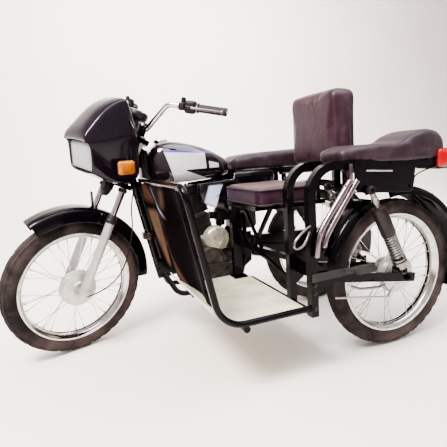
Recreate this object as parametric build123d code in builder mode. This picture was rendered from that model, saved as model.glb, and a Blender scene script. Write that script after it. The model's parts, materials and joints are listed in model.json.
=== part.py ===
from build123d import *
import math
import os

# A small commuter motorcycle with a third wheel beside it: a side carriage on the left,
# built like the rear half of a second motorcycle, with its own long seat, a cushion with
# a backrest between the two seats, a footboard and a full-width leg shield.
#
# Working frame, millimetres: +X forward, +Y left, +Z up, ground at Z = 0, rear axle at
# X = 0, the motorcycle's middle plane at Y = 0. At the end every piece is moved so that
# the origin is the middle of the footprint on the ground.

# driving dimensions
WHEELBASE = 1235.0
TYRE_R = 297.0
TYRE_HALF = 35.0
RAKE = 26.5
TRAIL = 92.0
STEER_TURN = 20.0
SIDE_WHEEL_X = 50.0
SIDE_WHEEL_Y = 592.0
FIT = 0.3
RUN_FIT = 0.05
HEAD_FIT = 0.25
AXLE_R = 6.0
STEM_R = 12.5
RIM_BED_R = 231.0

SIN_RAKE = math.sin(math.radians(RAKE))
COS_RAKE = math.cos(math.radians(RAKE))
STEER_FOOT = (WHEELBASE + TRAIL, 0.0, 0.0)
STEER_UP = (-SIN_RAKE, 0.0, COS_RAKE)
STEER_FORE = (COS_RAKE, 0.0, SIN_RAKE)
STEER_AXIS = Axis(STEER_FOOT, STEER_UP)
AXLE_ALONG = TRAIL * SIN_RAKE + TYRE_R * COS_RAKE
AXLE_FORE = -TRAIL * COS_RAKE + TYRE_R * SIN_RAKE

LEG_Y = 90.0
TUBE_R = 13.5
SLIDER_R = 18.5
SLIDER_TOP = 626.0
LOWER_CLAMP = 770.0
HEAD_LOW = 797.0
HEAD_HIGH = 962.0
UPPER_CLAMP = 970.0
CLAMP_THICK = 20.0
BAR_ALONG = 1033.0
BAR_FORE = 38.0
BAR_R = 11.0

PIVOT_X = 455.0
PIVOT_Z = 362.0
SIDE_PIVOT_X = 440.0
ARM_Y = 95.0

CUSHION = (290.0, 575.0, 150.0, 490.0, 602.0, 678.0)
BACKREST = (125.0, 225.0, 180.0, 490.0, 732.0, 1022.0)
SIDE_SEAT_Y = 612.0
POST_X = 480.0
POST_INNER_Y = 548.0
POST_OUTER_Y = 686.0
POST_W = 28.0
BOARD_Z = 262.0
BOARD_NEAR_Y = 686.0
BOARD_FAR_Y = 140.0
RAIL_R = 11.0
RAIL_FOOT_X = 822.0
RAIL_TOP = (911.0, 722.0)


def on_steer(along, fore, side=0.0):
    """Point given by its distance up the steering axis, ahead of it and to the left."""
    return (
        STEER_FOOT[0] + along * STEER_UP[0] + fore * STEER_FORE[0],
        side,
        along * STEER_UP[2] + fore * STEER_FORE[2],
    )


def steer_plane(along, fore=0.0, side=0.0):
    """Plane square to the steering axis: local X points ahead, local Y to the left."""
    return Plane(origin=on_steer(along, fore, side), x_dir=STEER_FORE, z_dir=STEER_UP)


def wheel_section(centre):
    """Plane through a wheel's axis: local X runs along the axle, local Y is the radius."""
    return Plane(origin=centre, x_dir=(0, 1, 0), z_dir=(1, 0, 0))


def arc_section(centre, degrees):
    """Plane through a wheel's axis whose local Y points out at an angle from +X."""
    turn = math.radians(degrees)
    out = (math.cos(turn), 0.0, math.sin(turn))
    return Plane(origin=centre, x_dir=(0, 1, 0), z_dir=(out[2], 0.0, -out[0]))


def side_plane(left):
    """Upright plane facing +Y: local X points backward, local Y up."""
    return Plane(origin=(0, left, 0), x_dir=(-1, 0, 0), z_dir=(0, 1, 0))


def between(start, end):
    """Plane at a start point that faces an end point, and the length between them."""
    way = Vector(*end) - Vector(*start)
    return Plane(origin=start, z_dir=way.normalized()), way.length


def flip(points):
    """The same points on the other side of the middle plane."""
    return tuple((x, -y, z) for x, y, z in points)


pieces = {}


def finish(builder, label, steered=False):
    """Keep a finished piece under its name; steered pieces turn with the handlebar."""
    if steered:
        builder.part = builder.part.rotate(STEER_AXIS, STEER_TURN)
    builder.part.label = label
    pieces[label] = builder


# wheels
FRONT_AXLE = (WHEELBASE, 0.0, TYRE_R)
REAR_AXLE = (0.0, 0.0, TYRE_R)
SIDE_AXLE = (SIDE_WHEEL_X, SIDE_WHEEL_Y, TYRE_R)

# name, axle centre, side of the brake drum (+1 left), steered
WHEELS = (
    ("front", FRONT_AXLE, 1.0, True),
    ("rear", REAR_AXLE, -1.0, False),
    ("side", SIDE_AXLE, 1.0, False),
)
DRUM_R = 76.0
DRUM_FACE = 42.0
HUB_END = 48.0
FLANGE_R = 52.0
SPOKES_PER_SIDE = 18
SPOKE_W = 2.6
RIM_INNER_R = 217.0

# half of the tyre's section: distance from the middle, radius
TYRE_POINTS = ((24, RIM_BED_R), (TYRE_HALF, 262), (17, TYRE_R))

for name, centre, drum, steered in WHEELS:
    spin = Axis(centre, (0, 1, 0))

    with BuildPart() as tyre:
        with BuildSketch(wheel_section(centre)):
            with BuildLine():
                half = [(y, r) for y, r in TYRE_POINTS]
                other = [(-y, r) for y, r in reversed(TYRE_POINTS)]
                Polyline(*half, *other, close=True)
            make_face()
        revolve(axis=spin)
    finish(tyre, name + "_tyre", steered)

    with BuildPart() as wheel:
        with BuildSketch(wheel_section(centre)):
            with BuildLine():
                Polyline(
                    (-24, RIM_BED_R - FIT),
                    (24, RIM_BED_R - FIT),
                    (22, 223),
                    (8, RIM_INNER_R),
                    (-8, RIM_INNER_R),
                    (-22, 223),
                    close=True,
                )
            make_face()
        revolve(axis=spin)
        with BuildSketch(wheel_section(centre)):
            with BuildLine():
                Polyline(
                    (drum * DRUM_FACE, AXLE_R + RUN_FIT),
                    (drum * DRUM_FACE, DRUM_R),
                    (drum * 14, DRUM_R),
                    (drum * 8, 30),
                    (-drum * 30, 24),
                    (-drum * 30, FLANGE_R),
                    (-drum * 36, FLANGE_R),
                    (-drum * 36, 22),
                    (-drum * HUB_END, 18),
                    (-drum * HUB_END, AXLE_R + RUN_FIT),
                    close=True,
                )
            make_face()
        revolve(axis=spin)
        for count in range(SPOKES_PER_SIDE):
            for out, root_r, lean in ((drum * 27, DRUM_R - 4, 1), (-drum * 33, FLANGE_R - 4, -1)):
                turn = 360.0 / SPOKES_PER_SIDE * (count + (0.5 if lean > 0 else 0.0))
                swing = 26.0 * (1 if count % 2 else -1)
                a = math.radians(turn)
                b = math.radians(turn + swing * 0.6)
                root = (
                    centre[0] + root_r * math.cos(a),
                    centre[1] + out,
                    centre[2] + root_r * math.sin(a),
                )
                tip = (
                    centre[0] + (RIM_INNER_R + 3) * math.cos(b),
                    centre[1] + math.copysign(4, out),
                    centre[2] + (RIM_INNER_R + 3) * math.sin(b),
                )
                plane, length = between(root, tip)
                with BuildSketch(plane):
                    Rectangle(SPOKE_W, SPOKE_W)
                extrude(amount=length)
    finish(wheel, name + "_wheel", steered)

# brake plates
PLATE_GAP = 1.5


def plate_profile(sign):
    """Half section of a brake plate: an open dish whose rim covers the drum's edge."""
    face = DRUM_FACE + PLATE_GAP
    return (
        (sign * face, AXLE_R + FIT),
        (sign * face, DRUM_R - 2),
        (sign * (face + 5), DRUM_R - 4),
        (sign * (face + 11), 40),
        (sign * (face + 17), 34),
        (sign * (face + 17), AXLE_R + FIT),
    )


with BuildPart() as front_brake_plate:
    with BuildSketch(wheel_section(FRONT_AXLE)):
        with BuildLine():
            Polyline(*plate_profile(1), close=True)
        make_face()
    revolve(axis=Axis(FRONT_AXLE, (0, 1, 0)))
finish(front_brake_plate, "front_brake_plate", True)

with BuildPart() as brake_plates:
    for centre, sign in ((REAR_AXLE, -1.0), (SIDE_AXLE, 1.0)):
        with BuildSketch(wheel_section(centre)):
            with BuildLine():
                Polyline(*plate_profile(sign), close=True)
            make_face()
        revolve(axis=Axis(centre, (0, 1, 0)))
        arm_y = centre[1] + sign * (DRUM_FACE + PLATE_GAP + 5.5)
        start = (centre[0] + 20, arm_y, centre[2] - 42)
        end = (centre[0] + 52, arm_y, centre[2] - 84)
        plane, length = between(start, end)
        with BuildSketch(plane):
            Rectangle(9, 9)
        extrude(amount=length)
        plane, length = between(end, (centre[0] + 300, arm_y, centre[2] - 40))
        with BuildSketch(plane):
            Circle(4)
        extrude(amount=length)
finish(brake_plates, "brake_plates")

# front fork
with BuildPart() as fork_sliders:
    for side in (-LEG_Y, LEG_Y):
        with BuildSketch(steer_plane(AXLE_ALONG - 26, AXLE_FORE, side)):
            Circle(SLIDER_R - 3)
        extrude(amount=46)
        with BuildSketch(steer_plane(AXLE_ALONG + 15, AXLE_FORE, side)):
            Circle(SLIDER_R)
        extrude(amount=SLIDER_TOP - AXLE_ALONG - 15)
    with BuildSketch(Plane(origin=(WHEELBASE, -LEG_Y - 24, TYRE_R), x_dir=(1, 0, 0), z_dir=(0, 1, 0))):
        Circle(AXLE_R)
    extrude(amount=2 * LEG_Y + 48)
    for side in (-1, 1):
        start = side * (HUB_END + 2.0)
        if side > 0:
            start = DRUM_FACE + PLATE_GAP + 17 + FIT
        with BuildSketch(Plane(origin=(WHEELBASE, start, TYRE_R), x_dir=(1, 0, 0), z_dir=(0, side, 0))):
            Circle(AXLE_R + 4)
        extrude(amount=LEG_Y - 7 - abs(start))
        with BuildSketch(
            Plane(
                origin=(WHEELBASE, side * (LEG_Y + 9), TYRE_R),
                x_dir=(0.9, 0, 0.4359),
                z_dir=(0, side, 0),
            )
        ):
            RegularPolygon(12, 6)
        extrude(amount=SLIDER_R - 5)
finish(fork_sliders, "fork_sliders", True)

TUBE_TOP = UPPER_CLAMP + CLAMP_THICK + 8
with BuildPart() as fork_tubes:
    for side in (-LEG_Y, LEG_Y):
        with BuildSketch(steer_plane(SLIDER_TOP + FIT, AXLE_FORE, side)):
            Circle(TUBE_R)
        extrude(amount=TUBE_TOP - SLIDER_TOP - FIT)
finish(fork_tubes, "fork_tubes", True)

with BuildPart() as fork_clamps:
    for along in (LOWER_CLAMP, UPPER_CLAMP):
        with BuildSketch(steer_plane(along)):
            with BuildLine():
                Polyline(
                    (-19, -14),
                    (26, -LEG_Y - 22),
                    (74, -LEG_Y - 22),
                    (74, -LEG_Y + 18),
                    (68, -34),
                    (68, 34),
                    (74, LEG_Y - 18),
                    (74, LEG_Y + 22),
                    (26, LEG_Y + 22),
                    (-19, 14),
                    close=True,
                )
            make_face()
        extrude(amount=CLAMP_THICK)
    with BuildSketch(steer_plane(LOWER_CLAMP + 5)):
        Circle(STEM_R)
    extrude(amount=UPPER_CLAMP + CLAMP_THICK - LOWER_CLAMP + 3)
    for side in (-42, 42):
        with BuildSketch(steer_plane(UPPER_CLAMP + 10, BAR_FORE, side)):
            RectangleRounded(30, 26, 6)
        extrude(amount=BAR_ALONG + 15 - UPPER_CLAMP - 10)
    for side in (-LEG_Y, LEG_Y):
        with BuildSketch(steer_plane(LOWER_CLAMP - 5, AXLE_FORE, side)):
            Circle(TUBE_R + FIT)
        extrude(amount=UPPER_CLAMP + CLAMP_THICK + 12 - LOWER_CLAMP, mode=Mode.SUBTRACT)
    with BuildSketch(Plane(origin=on_steer(BAR_ALONG, BAR_FORE, -60), x_dir=(1, 0, 0), z_dir=(0, 1, 0))):
        Circle(BAR_R + FIT)
    extrude(amount=120, mode=Mode.SUBTRACT)
finish(fork_clamps, "fork_clamps", True)

# handlebar
BAR_MID = on_steer(BAR_ALONG, BAR_FORE)
BAR_KNEE = (858.0, 182.0, 1050.0)
BAR_END = (708.0, 368.0, 1022.0)
BAR_PATH = (BAR_MID, (BAR_MID[0], 72.0, BAR_MID[2]), BAR_KNEE, BAR_END)

with BuildPart() as handlebar:
    for path in (BAR_PATH, flip(BAR_PATH)):
        with BuildLine() as run:
            FilletPolyline(*path, radius=45)
        with BuildSketch(Plane(origin=run.line @ 0, z_dir=run.line % 0)):
            Circle(BAR_R)
        sweep(path=run.line)
finish(handlebar, "handlebar", True)

GRIP_LENGTH = 120.0


def along_grip(distance, side):
    """Plane across the handlebar's end, a distance in from the end, facing outward."""
    end = Vector(BAR_END[0], side * BAR_END[1], BAR_END[2])
    knee = Vector(BAR_KNEE[0], side * BAR_KNEE[1], BAR_KNEE[2])
    out = (end - knee).normalized()
    return Plane(origin=end - out * distance, x_dir=(0, 0, 1), z_dir=out)


with BuildPart() as hand_grips:
    for side in (-1, 1):
        with BuildSketch(along_grip(GRIP_LENGTH, side)):
            Circle(16)
            Circle(BAR_R + FIT, mode=Mode.SUBTRACT)
        extrude(amount=GRIP_LENGTH)
        with BuildSketch(along_grip(GRIP_LENGTH, side)):
            Circle(20)
            Circle(BAR_R + FIT, mode=Mode.SUBTRACT)
        extrude(amount=5)
finish(hand_grips, "hand_grips", True)

with BuildPart() as hand_controls:
    for side in (-1, 1):
        with BuildSketch(along_grip(GRIP_LENGTH + 50, side)):
            RectangleRounded(42, 46, 12)
            Circle(BAR_R + FIT, mode=Mode.SUBTRACT)
        extrude(amount=44)
        pod = along_grip(GRIP_LENGTH + 40, side)
        ahead = Vector(0, 0, 1).cross(pod.z_dir).normalized()
        if ahead.X < 0:
            ahead = -ahead
        pivot = pod.origin + ahead * 20
        elbow = pod.origin + ahead * 50 + pod.z_dir * 30
        tip = pod.origin + ahead * 42 + pod.z_dir * 150
        for start, end in ((pivot, elbow), (elbow, tip)):
            plane, length = between(tuple(start), tuple(end))
            with BuildSketch(plane):
                Circle(5)
            extrude(amount=length)
        with Locations(tuple(elbow), tuple(tip)):
            Sphere(5.6)
finish(hand_controls, "hand_controls", True)

# cowl and lamps
COWL_FRONT = 1160.0
# station X, half width, bottom Z, top Z, corner radius
COWL_STATIONS = (
    (985.0, 126.0, 775.0, 1076.0, 46.0),
    (1043.0, 124.0, 756.0, 1056.0, 46.0),
    (1100.0, 120.0, 762.0, 988.0, 40.0),
    (COWL_FRONT, 113.0, 780.0, 918.0, 24.0),
)
COWL_WALL = 4.0
LENS_HALF = 104.0
LENS_Z = (790.0, 907.0)


def soft_corners(half, tall, corner):
    """Corner points of a rectangle whose corners are rounded by four short flats."""
    points = []
    for sx, sy, first in ((1, 1, 0), (-1, 1, 90), (-1, -1, 180), (1, -1, 270)):
        for step in range(5):
            turn = math.radians(first + 22.5 * step)
            points.append((
                sx * (half - corner) + corner * math.cos(turn),
                sy * (tall / 2 - corner) + corner * math.sin(turn),
            ))
    return points


def facing_back(x, low, high):
    """Plane square to X whose local X is +Y and local Y is +Z, at mid height."""
    return Plane(origin=(x, 0, (low + high) / 2), x_dir=(0, 1, 0), z_dir=(1, 0, 0))


with BuildPart() as cowl:
    for x, half, low, high, corner in COWL_STATIONS:
        with BuildSketch(facing_back(x, low, high)):
            with BuildLine():
                Polyline(*soft_corners(half, high - low, corner), close=True)
            make_face()
    loft(ruled=True)
    for x, half, low, high, corner in COWL_STATIONS:
        shift = -1.0 if x == COWL_STATIONS[0][0] else 0.0
        if x == COWL_STATIONS[-1][0]:
            shift = -COWL_WALL
        inner = soft_corners(half - COWL_WALL, high - low - 2 * COWL_WALL, corner - COWL_WALL)
        with BuildSketch(facing_back(x + shift, low, high)):
            with BuildLine():
                Polyline(*inner, close=True)
            make_face()
    loft(ruled=True, mode=Mode.SUBTRACT)
    with BuildSketch(facing_back(COWL_FRONT - 40, *LENS_Z)):
        RectangleRounded(2 * LENS_HALF, LENS_Z[1] - LENS_Z[0], 20)
    extrude(amount=60, mode=Mode.SUBTRACT)
    with BuildSketch(Plane.XY.offset(700)):
        with Locations((1020, 0)):
            Rectangle(104, 236)
    extrude(amount=92, mode=Mode.SUBTRACT)
    for side in (-1, 1):
        tube_at = on_steer(850, AXLE_FORE, side * LEG_Y)
        start = (tube_at[0], side * (LEG_Y + TUBE_R + FIT), tube_at[2])
        with BuildSketch(Plane(origin=start, x_dir=(1, 0, 0), z_dir=(0, side, 0))):
            Rectangle(22, 22)
        extrude(amount=19)
finish(cowl, "cowl", True)

with BuildPart() as headlamp:
    with BuildSketch(facing_back(COWL_FRONT - 68, *LENS_Z)):
        RectangleRounded(2 * LENS_HALF - 30, LENS_Z[1] - LENS_Z[0] - 30, 18)
    with BuildSketch(facing_back(COWL_FRONT - 24, *LENS_Z)):
        RectangleRounded(2 * (LENS_HALF - FIT), LENS_Z[1] - LENS_Z[0] - 2 * FIT, 19)
    with BuildSketch(facing_back(COWL_FRONT + 1, *LENS_Z)):
        RectangleRounded(2 * (LENS_HALF - FIT), LENS_Z[1] - LENS_Z[0] - 2 * FIT, 19)
    loft(ruled=True)
    with BuildSketch(facing_back(COWL_FRONT + 1, *LENS_Z)):
        RectangleRounded(2 * LENS_HALF - 6, LENS_Z[1] - LENS_Z[0] - 6, 18)
    with BuildSketch(facing_back(COWL_FRONT + 8, *LENS_Z)):
        RectangleRounded(2 * LENS_HALF - 40, LENS_Z[1] - LENS_Z[0] - 40, 18)
    loft(ruled=True)
finish(headlamp, "headlamp", True)

INDICATOR = (1043.0, 124.4, 808.0)
with BuildPart() as front_indicators:
    for side in (-1, 1):
        with BuildSketch(
            Plane(origin=(INDICATOR[0], side * INDICATOR[1], INDICATOR[2]), x_dir=(1, 0, 0), z_dir=(0, side, 0))
        ):
            RectangleRounded(24, 26, 6)
        extrude(amount=14.6)
        with BuildSketch(
            Plane(origin=(INDICATOR[0], side * 137, INDICATOR[2]), x_dir=(1, 0, 0), z_dir=(0, side, 0))
        ):
            RectangleRounded(74, 58, 12)
        extrude(amount=34)
finish(front_indicators, "front_indicators", True)

with BuildPart() as instrument:
    with BuildSketch(steer_plane(1062, 62)):
        Circle(46)
    extrude(amount=38)
    with BuildSketch(steer_plane(UPPER_CLAMP + CLAMP_THICK + FIT, 61)):
        Rectangle(10, 44)
    extrude(amount=1064 - UPPER_CLAMP - CLAMP_THICK - FIT)
finish(instrument, "instrument", True)

# front mudguard
GUARD_R = 338.0
GUARD_HALF = 55.0
GUARD_REAR = 186.0
GUARD_FRONT = 62.0


def guard_profile(outer, half, skirt, wall=3.0):
    """Section of a mudguard: a shallow inverted trough with a skirt down each side."""
    return (
        (-half, outer - skirt),
        (-half, outer - 14),
        (-half + 16, outer),
        (half - 16, outer),
        (half, outer - 14),
        (half, outer - skirt),
        (half - wall, outer - skirt),
        (half - wall, outer - 14 - wall / 2),
        (half - 16 - wall / 2, outer - wall),
        (-half + 16 + wall / 2, outer - wall),
        (-half + wall, outer - 14 - wall / 2),
        (-half + wall, outer - skirt),
    )


# the guard sits a little high and forward of the axle
GUARD_CENTRE = (WHEELBASE + 6.0, 0.0, TYRE_R + 14.0)
with BuildPart() as front_guard:
    with BuildSketch(arc_section(GUARD_CENTRE, GUARD_REAR)):
        with BuildLine():
            Polyline(*guard_profile(GUARD_R, GUARD_HALF, 58), close=True)
        make_face()
    revolve(axis=Axis(GUARD_CENTRE, (0, 1, 0)), revolution_arc=GUARD_REAR - GUARD_FRONT)
    for side in (-1, 1):
        lug = on_steer(SLIDER_TOP - 10, AXLE_FORE, side * (GUARD_HALF - 1))
        with BuildSketch(Plane(origin=lug, x_dir=(1, 0, 0), z_dir=(0, side, 0))):
            Circle(11)
        extrude(amount=LEG_Y - SLIDER_R - GUARD_HALF + 1 - FIT)
    blade_x = WHEELBASE - 105
    with BuildSketch(Plane(origin=(blade_x, 0, 662), x_dir=(0, 1, 0), z_dir=(1, 0, 0))):
        RectangleRounded(26, 70, 4)
    extrude(amount=3)
finish(front_guard, "front_guard", True)

# speedometer cable
CABLE_R = 3.0
CABLE_PATH = (
    (1235.0, 61.2, 259.0),
    (1150.0, 66.0, 259.0),
    (1040.0, 72.0, 330.0),
    (985.0, 74.0, 520.0),
    on_steer(700, -24, 74),
    on_steer(800, -8, 66),
    on_steer(930, 78, 44),
    on_steer(1061, 72, 30),
)



def arc_radii(points):
    """Radius of the bend at each inner point: the largest that leaves straight runs between."""
    corners = [Vector(*p) for p in points]
    radii = []
    for before, corner, after in zip(corners, corners[1:], corners[2:]):
        run_in = corner - before
        run_out = after - corner
        half_turn = math.radians(run_in.get_angle(run_out)) / 2
        radii.append(0.45 * min(run_in.length, run_out.length) / math.tan(half_turn))
    return radii


CABLE_BENDS = arc_radii(CABLE_PATH)
print("speedo cable bends", [round(r) for r in CABLE_BENDS])
with BuildPart() as speedo_cable:
    with BuildLine() as run:
        FilletPolyline(*CABLE_PATH, radius=CABLE_BENDS)
    print("speedo cable length", round(sum(edge.length for edge in run.edges())))
    with BuildSketch(Plane(origin=run.line @ 0, z_dir=run.line % 0)):
        Circle(CABLE_R)
    sweep(path=run.line)
finish(speedo_cable, "speedo_cable", True)

# motorcycle frame
HEAD_R = 25.0
PLATE_Y = 100.0
SHOCK_TOP = (232.0, 668.0)
SHOCK_LOW = (52.0, 336.0)
SHOCK_Y = 118.0

CRADLE_Z = 192.0
SEAT_RAIL_Z = 716.0
TUNNEL_HALF = 34.0
TANK_PAD_X = 800.0
TANK_PAD_Z = 768.0

# tube radius, bend radius, points; mirrored when its first point is off the middle plane
FRAME_TUBES = (
    (19.0, 30.0, (on_steer(895, -18), (560.0, 0.0, 715.0), (446.0, 0.0, 600.0))),
    (17.0, 30.0, (on_steer(828, -18), (866.0, 0.0, 330.0), (852.0, 0.0, 262.0))),
    (12.0, 50.0, ((852.0, 6.0, 300.0), (800.0, 92.0, CRADLE_Z), (500.0, 92.0, CRADLE_Z),
                  (462.0, 103.0, 330.0))),
    (11.0, 60.0, ((488.0, 96.0, SEAT_RAIL_Z), (-60.0, 96.0, SEAT_RAIL_Z),
                  (-205.0, 80.0, SEAT_RAIL_Z))),
    (11.0, 40.0, ((462.0, 103.0, 400.0), (446.0, 97.0, 620.0), (330.0, 96.0, SEAT_RAIL_Z))),
)
# X, Z and half length of the tubes that run across the frame
FRAME_CROSS = (
    (446.0, 600.0, 97.0),
    (-150.0, SEAT_RAIL_Z, 86.0),
    (230.0, SEAT_RAIL_Z, 96.0),
)

with BuildPart() as bike_frame:
    with BuildSketch(steer_plane(HEAD_LOW)):
        Circle(HEAD_R)
    extrude(amount=HEAD_HIGH - HEAD_LOW)
    for radius, bend, points in FRAME_TUBES:
        sides = (points,) if points[0][1] == 0.0 else (points, flip(points))
        for path in sides:
            with BuildLine() as run:
                FilletPolyline(*path, radius=bend)
            with BuildSketch(Plane(origin=run.line @ 0, z_dir=run.line % 0)):
                Circle(radius)
            sweep(path=run.line)
    for side in (-1, 1):
        with BuildSketch(side_plane(side * PLATE_Y - 3)):
            with BuildLine():
                Polyline((-500, 250), (-430, 300), (-425, 440), (-475, 440), (-520, 330), close=True)
            make_face()
        extrude(amount=6)
    for x, z, half in FRAME_CROSS:
        with BuildSketch(Plane(origin=(x, -half, z), x_dir=(1, 0, 0), z_dir=(0, 1, 0))):
            Circle(9)
        extrude(amount=2 * half)
    with BuildSketch(Plane(origin=(TANK_PAD_X, -TUNNEL_HALF + FIT, TANK_PAD_Z), x_dir=(1, 0, 0), z_dir=(0, 1, 0))):
        Circle(14)
    extrude(amount=2 * (TUNNEL_HALF - FIT))
    for side in (-1, 1):
        with BuildSketch(Plane(origin=(SHOCK_TOP[0], side * 90, SHOCK_TOP[1]), x_dir=(1, 0, 0), z_dir=(0, side, 0))):
            Circle(6)
        extrude(amount=48)
        with BuildSketch(Plane(origin=(SHOCK_TOP[0], side * 96, 692), x_dir=(1, 0, 0), z_dir=(0, side, 0))):
            Rectangle(24, 62)
        extrude(amount=6)
    for side in (-1, 1):
        with BuildSketch(side_plane(side * 26 - 3)):
            with BuildLine():
                Polyline((-870, 345), (-738, 318), (-738, 282), (-850, 262), close=True)
            make_face()
        extrude(amount=6)
    with BuildSketch(Plane(origin=(858, -28, 300), x_dir=(1, 0, 0), z_dir=(0, 1, 0))):
        Circle(10)
    extrude(amount=56)
    with BuildSketch(steer_plane(HEAD_LOW - 5)):
        Circle(STEM_R + HEAD_FIT)
    extrude(amount=HEAD_HIGH - HEAD_LOW + 10, mode=Mode.SUBTRACT)
finish(bike_frame, "bike_frame")

# engine
with BuildPart() as engine_block:
    with BuildSketch(side_plane(-68)):
        with BuildLine():
            Polyline(
                (-728, 250), (-690, 208), (-520, 206), (-488, 250), (-492, 380),
                (-540, 420), (-700, 428), (-728, 380), close=True,
            )
        make_face()
    extrude(amount=136)
    for side, reach, low_reach in ((1, 52.0, 26.0), (-1, 56.0, 26.0)):
        with BuildSketch(Plane(origin=(640, side * 68, 318), x_dir=(1, 0, 0), z_dir=(0, side, 0))):
            Circle(86)
        extrude(amount=reach, taper=8)
        with BuildSketch(Plane(origin=(548, side * 68, 318), x_dir=(1, 0, 0), z_dir=(0, side, 0))):
            Circle(58)
        extrude(amount=low_reach, taper=8)
    with BuildSketch(Plane(origin=(500, -PLATE_Y + 3 + FIT, 300), x_dir=(1, 0, 0), z_dir=(0, 1, 0))):
        Circle(12)
    extrude(amount=2 * (PLATE_Y - 3 - FIT))
    with BuildSketch(Plane.XZ.offset(22.7)):
        with Locations((742, 300)):
            Rectangle(40, 34)
    extrude(amount=-45.4)
finish(engine_block, "engine_block")

BARREL_LEAN = 15.0
BARREL_UP = (math.sin(math.radians(BARREL_LEAN)), 0.0, math.cos(math.radians(BARREL_LEAN)))
BARREL_FOOT = (638.0, 0.0, 422.0)
FIN_COUNT = 9
FIN_PITCH = 15.0


def barrel_plane(up):
    """Plane across the leaning cylinder, a distance up from its foot."""
    origin = tuple(BARREL_FOOT[i] + up * BARREL_UP[i] for i in range(3))
    return Plane(origin=origin, x_dir=(BARREL_UP[2], 0, -BARREL_UP[0]), z_dir=BARREL_UP)


with BuildPart() as engine_cylinder:
    with BuildSketch(barrel_plane(22)):
        Circle(42)
    extrude(amount=FIN_COUNT * FIN_PITCH + 8)
    for fin in range(FIN_COUNT):
        with BuildSketch(barrel_plane(24 + fin * FIN_PITCH)):
            RectangleRounded(122 - 2 * abs(fin - 5), 118, 16)
        extrude(amount=5)
    with BuildSketch(barrel_plane(24 + FIN_COUNT * FIN_PITCH)):
        RectangleRounded(104, 96, 20)
    extrude(amount=22)
    with BuildSketch(Plane(origin=(690, -66, 528), x_dir=(1, 0, 0), z_dir=(0, 1, 0))):
        Circle(24)
    extrude(amount=132)
finish(engine_cylinder, "engine_cylinder")

with BuildPart() as intake:
    with BuildSketch(Plane(origin=(562, 0, 520), x_dir=(0, 1, 0), z_dir=(1, 0, 0.1))):
        Circle(19)
    extrude(amount=34.9)
    with BuildSketch(Plane(origin=(540, 0, 470), z_dir=(0, 0, 1))):
        RectangleRounded(48, 46, 10)
    extrude(amount=84)
    with BuildSketch(Plane(origin=(470, 0, 515), x_dir=(0, 1, 0), z_dir=(1, 0, 0))):
        Circle(24)
    extrude(amount=60)
    with BuildSketch(Plane(origin=(410, -62, 470), x_dir=(1, 0, 0), z_dir=(0, 1, 0))):
        with Locations((20, -40)):
            RectangleRounded(118, 130, 20)
    extrude(amount=124)
finish(intake, "intake")

PEG_X = 610.0
EXHAUST_Y = -172.0
PIPE_PATH = (
    (723.2, 0.0, 492.0), (772.0, 0.0, 488.0), (806.0, -44.0, 462.0), (812.0, -112.0, 380.0),
    (770.0, -150.0, 246.0), (420.0, EXHAUST_Y, 246.0), (300.0, EXHAUST_Y, 262.0),
)
with BuildPart() as exhaust:
    with BuildLine() as run:
        FilletPolyline(*PIPE_PATH, radius=20)
    with BuildSketch(Plane(origin=run.line @ 0, z_dir=run.line % 0)):
        Circle(15)
    sweep(path=run.line)
    start = (310.0, EXHAUST_Y, 260.0)
    end = (-240.0, EXHAUST_Y, 318.0)
    plane, length = between(start, end)
    with BuildSketch(plane):
        Circle(20)
    with BuildSketch(plane.offset(60)):
        Circle(40)
    loft(ruled=True)
    with BuildSketch(plane.offset(60)):
        Circle(40)
    extrude(amount=length - 110)
    with BuildSketch(plane.offset(length - 50)):
        Circle(40)
    with BuildSketch(plane.offset(length)):
        Circle(28)
    loft(ruled=True)
    hanger_z = CRADLE_Z - 12 - FIT
    with BuildSketch(Plane(origin=(PEG_X, -160, hanger_z), z_dir=(0, 0, 1))):
        Rectangle(20, 6)
    extrude(amount=246 - hanger_z)
finish(exhaust, "exhaust")

# tank and seat
# station X, half width, bottom Z, top Z, corner radius
TANK_STATIONS = (
    (500.0, 66.0, 712.0, 786.0, 24.0),
    (580.0, 104.0, 700.0, 832.0, 44.0),
    (690.0, 124.0, 694.0, 868.0, 60.0),
    (790.0, 126.0, 694.0, 884.0, 64.0),
    (848.0, 104.0, 702.0, 862.0, 52.0),
    (868.0, 84.0, 720.0, 834.0, 40.0),
)
with BuildPart() as fuel_tank:
    for x, half, low, high, corner in TANK_STATIONS:
        with BuildSketch(facing_back(x, low, high)):
            with BuildLine():
                Polyline(*soft_corners(half, high - low, corner), close=True)
            make_face()
    loft(ruled=True)
    with BuildSketch(Plane(origin=(900, 0, 0), x_dir=(0, 1, 0), z_dir=(1, 0, 0))):
        with BuildLine():
            Polyline((-TUNNEL_HALF, 640), (TUNNEL_HALF, 640), (TUNNEL_HALF, 816), (-TUNNEL_HALF, 816), close=True)
        make_face()
    with BuildSketch(Plane(origin=(480, 0, 0), x_dir=(0, 1, 0), z_dir=(1, 0, 0))):
        with BuildLine():
            Polyline((-TUNNEL_HALF, 640), (TUNNEL_HALF, 640), (TUNNEL_HALF, 726), (-TUNNEL_HALF, 726), close=True)
        make_face()
    loft(ruled=True, mode=Mode.SUBTRACT)
    with BuildSketch(Plane(origin=(800, 0, 870), z_dir=(0.04, 0, 1))):
        Circle(30)
    extrude(amount=22)
finish(fuel_tank, "fuel_tank")


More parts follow.
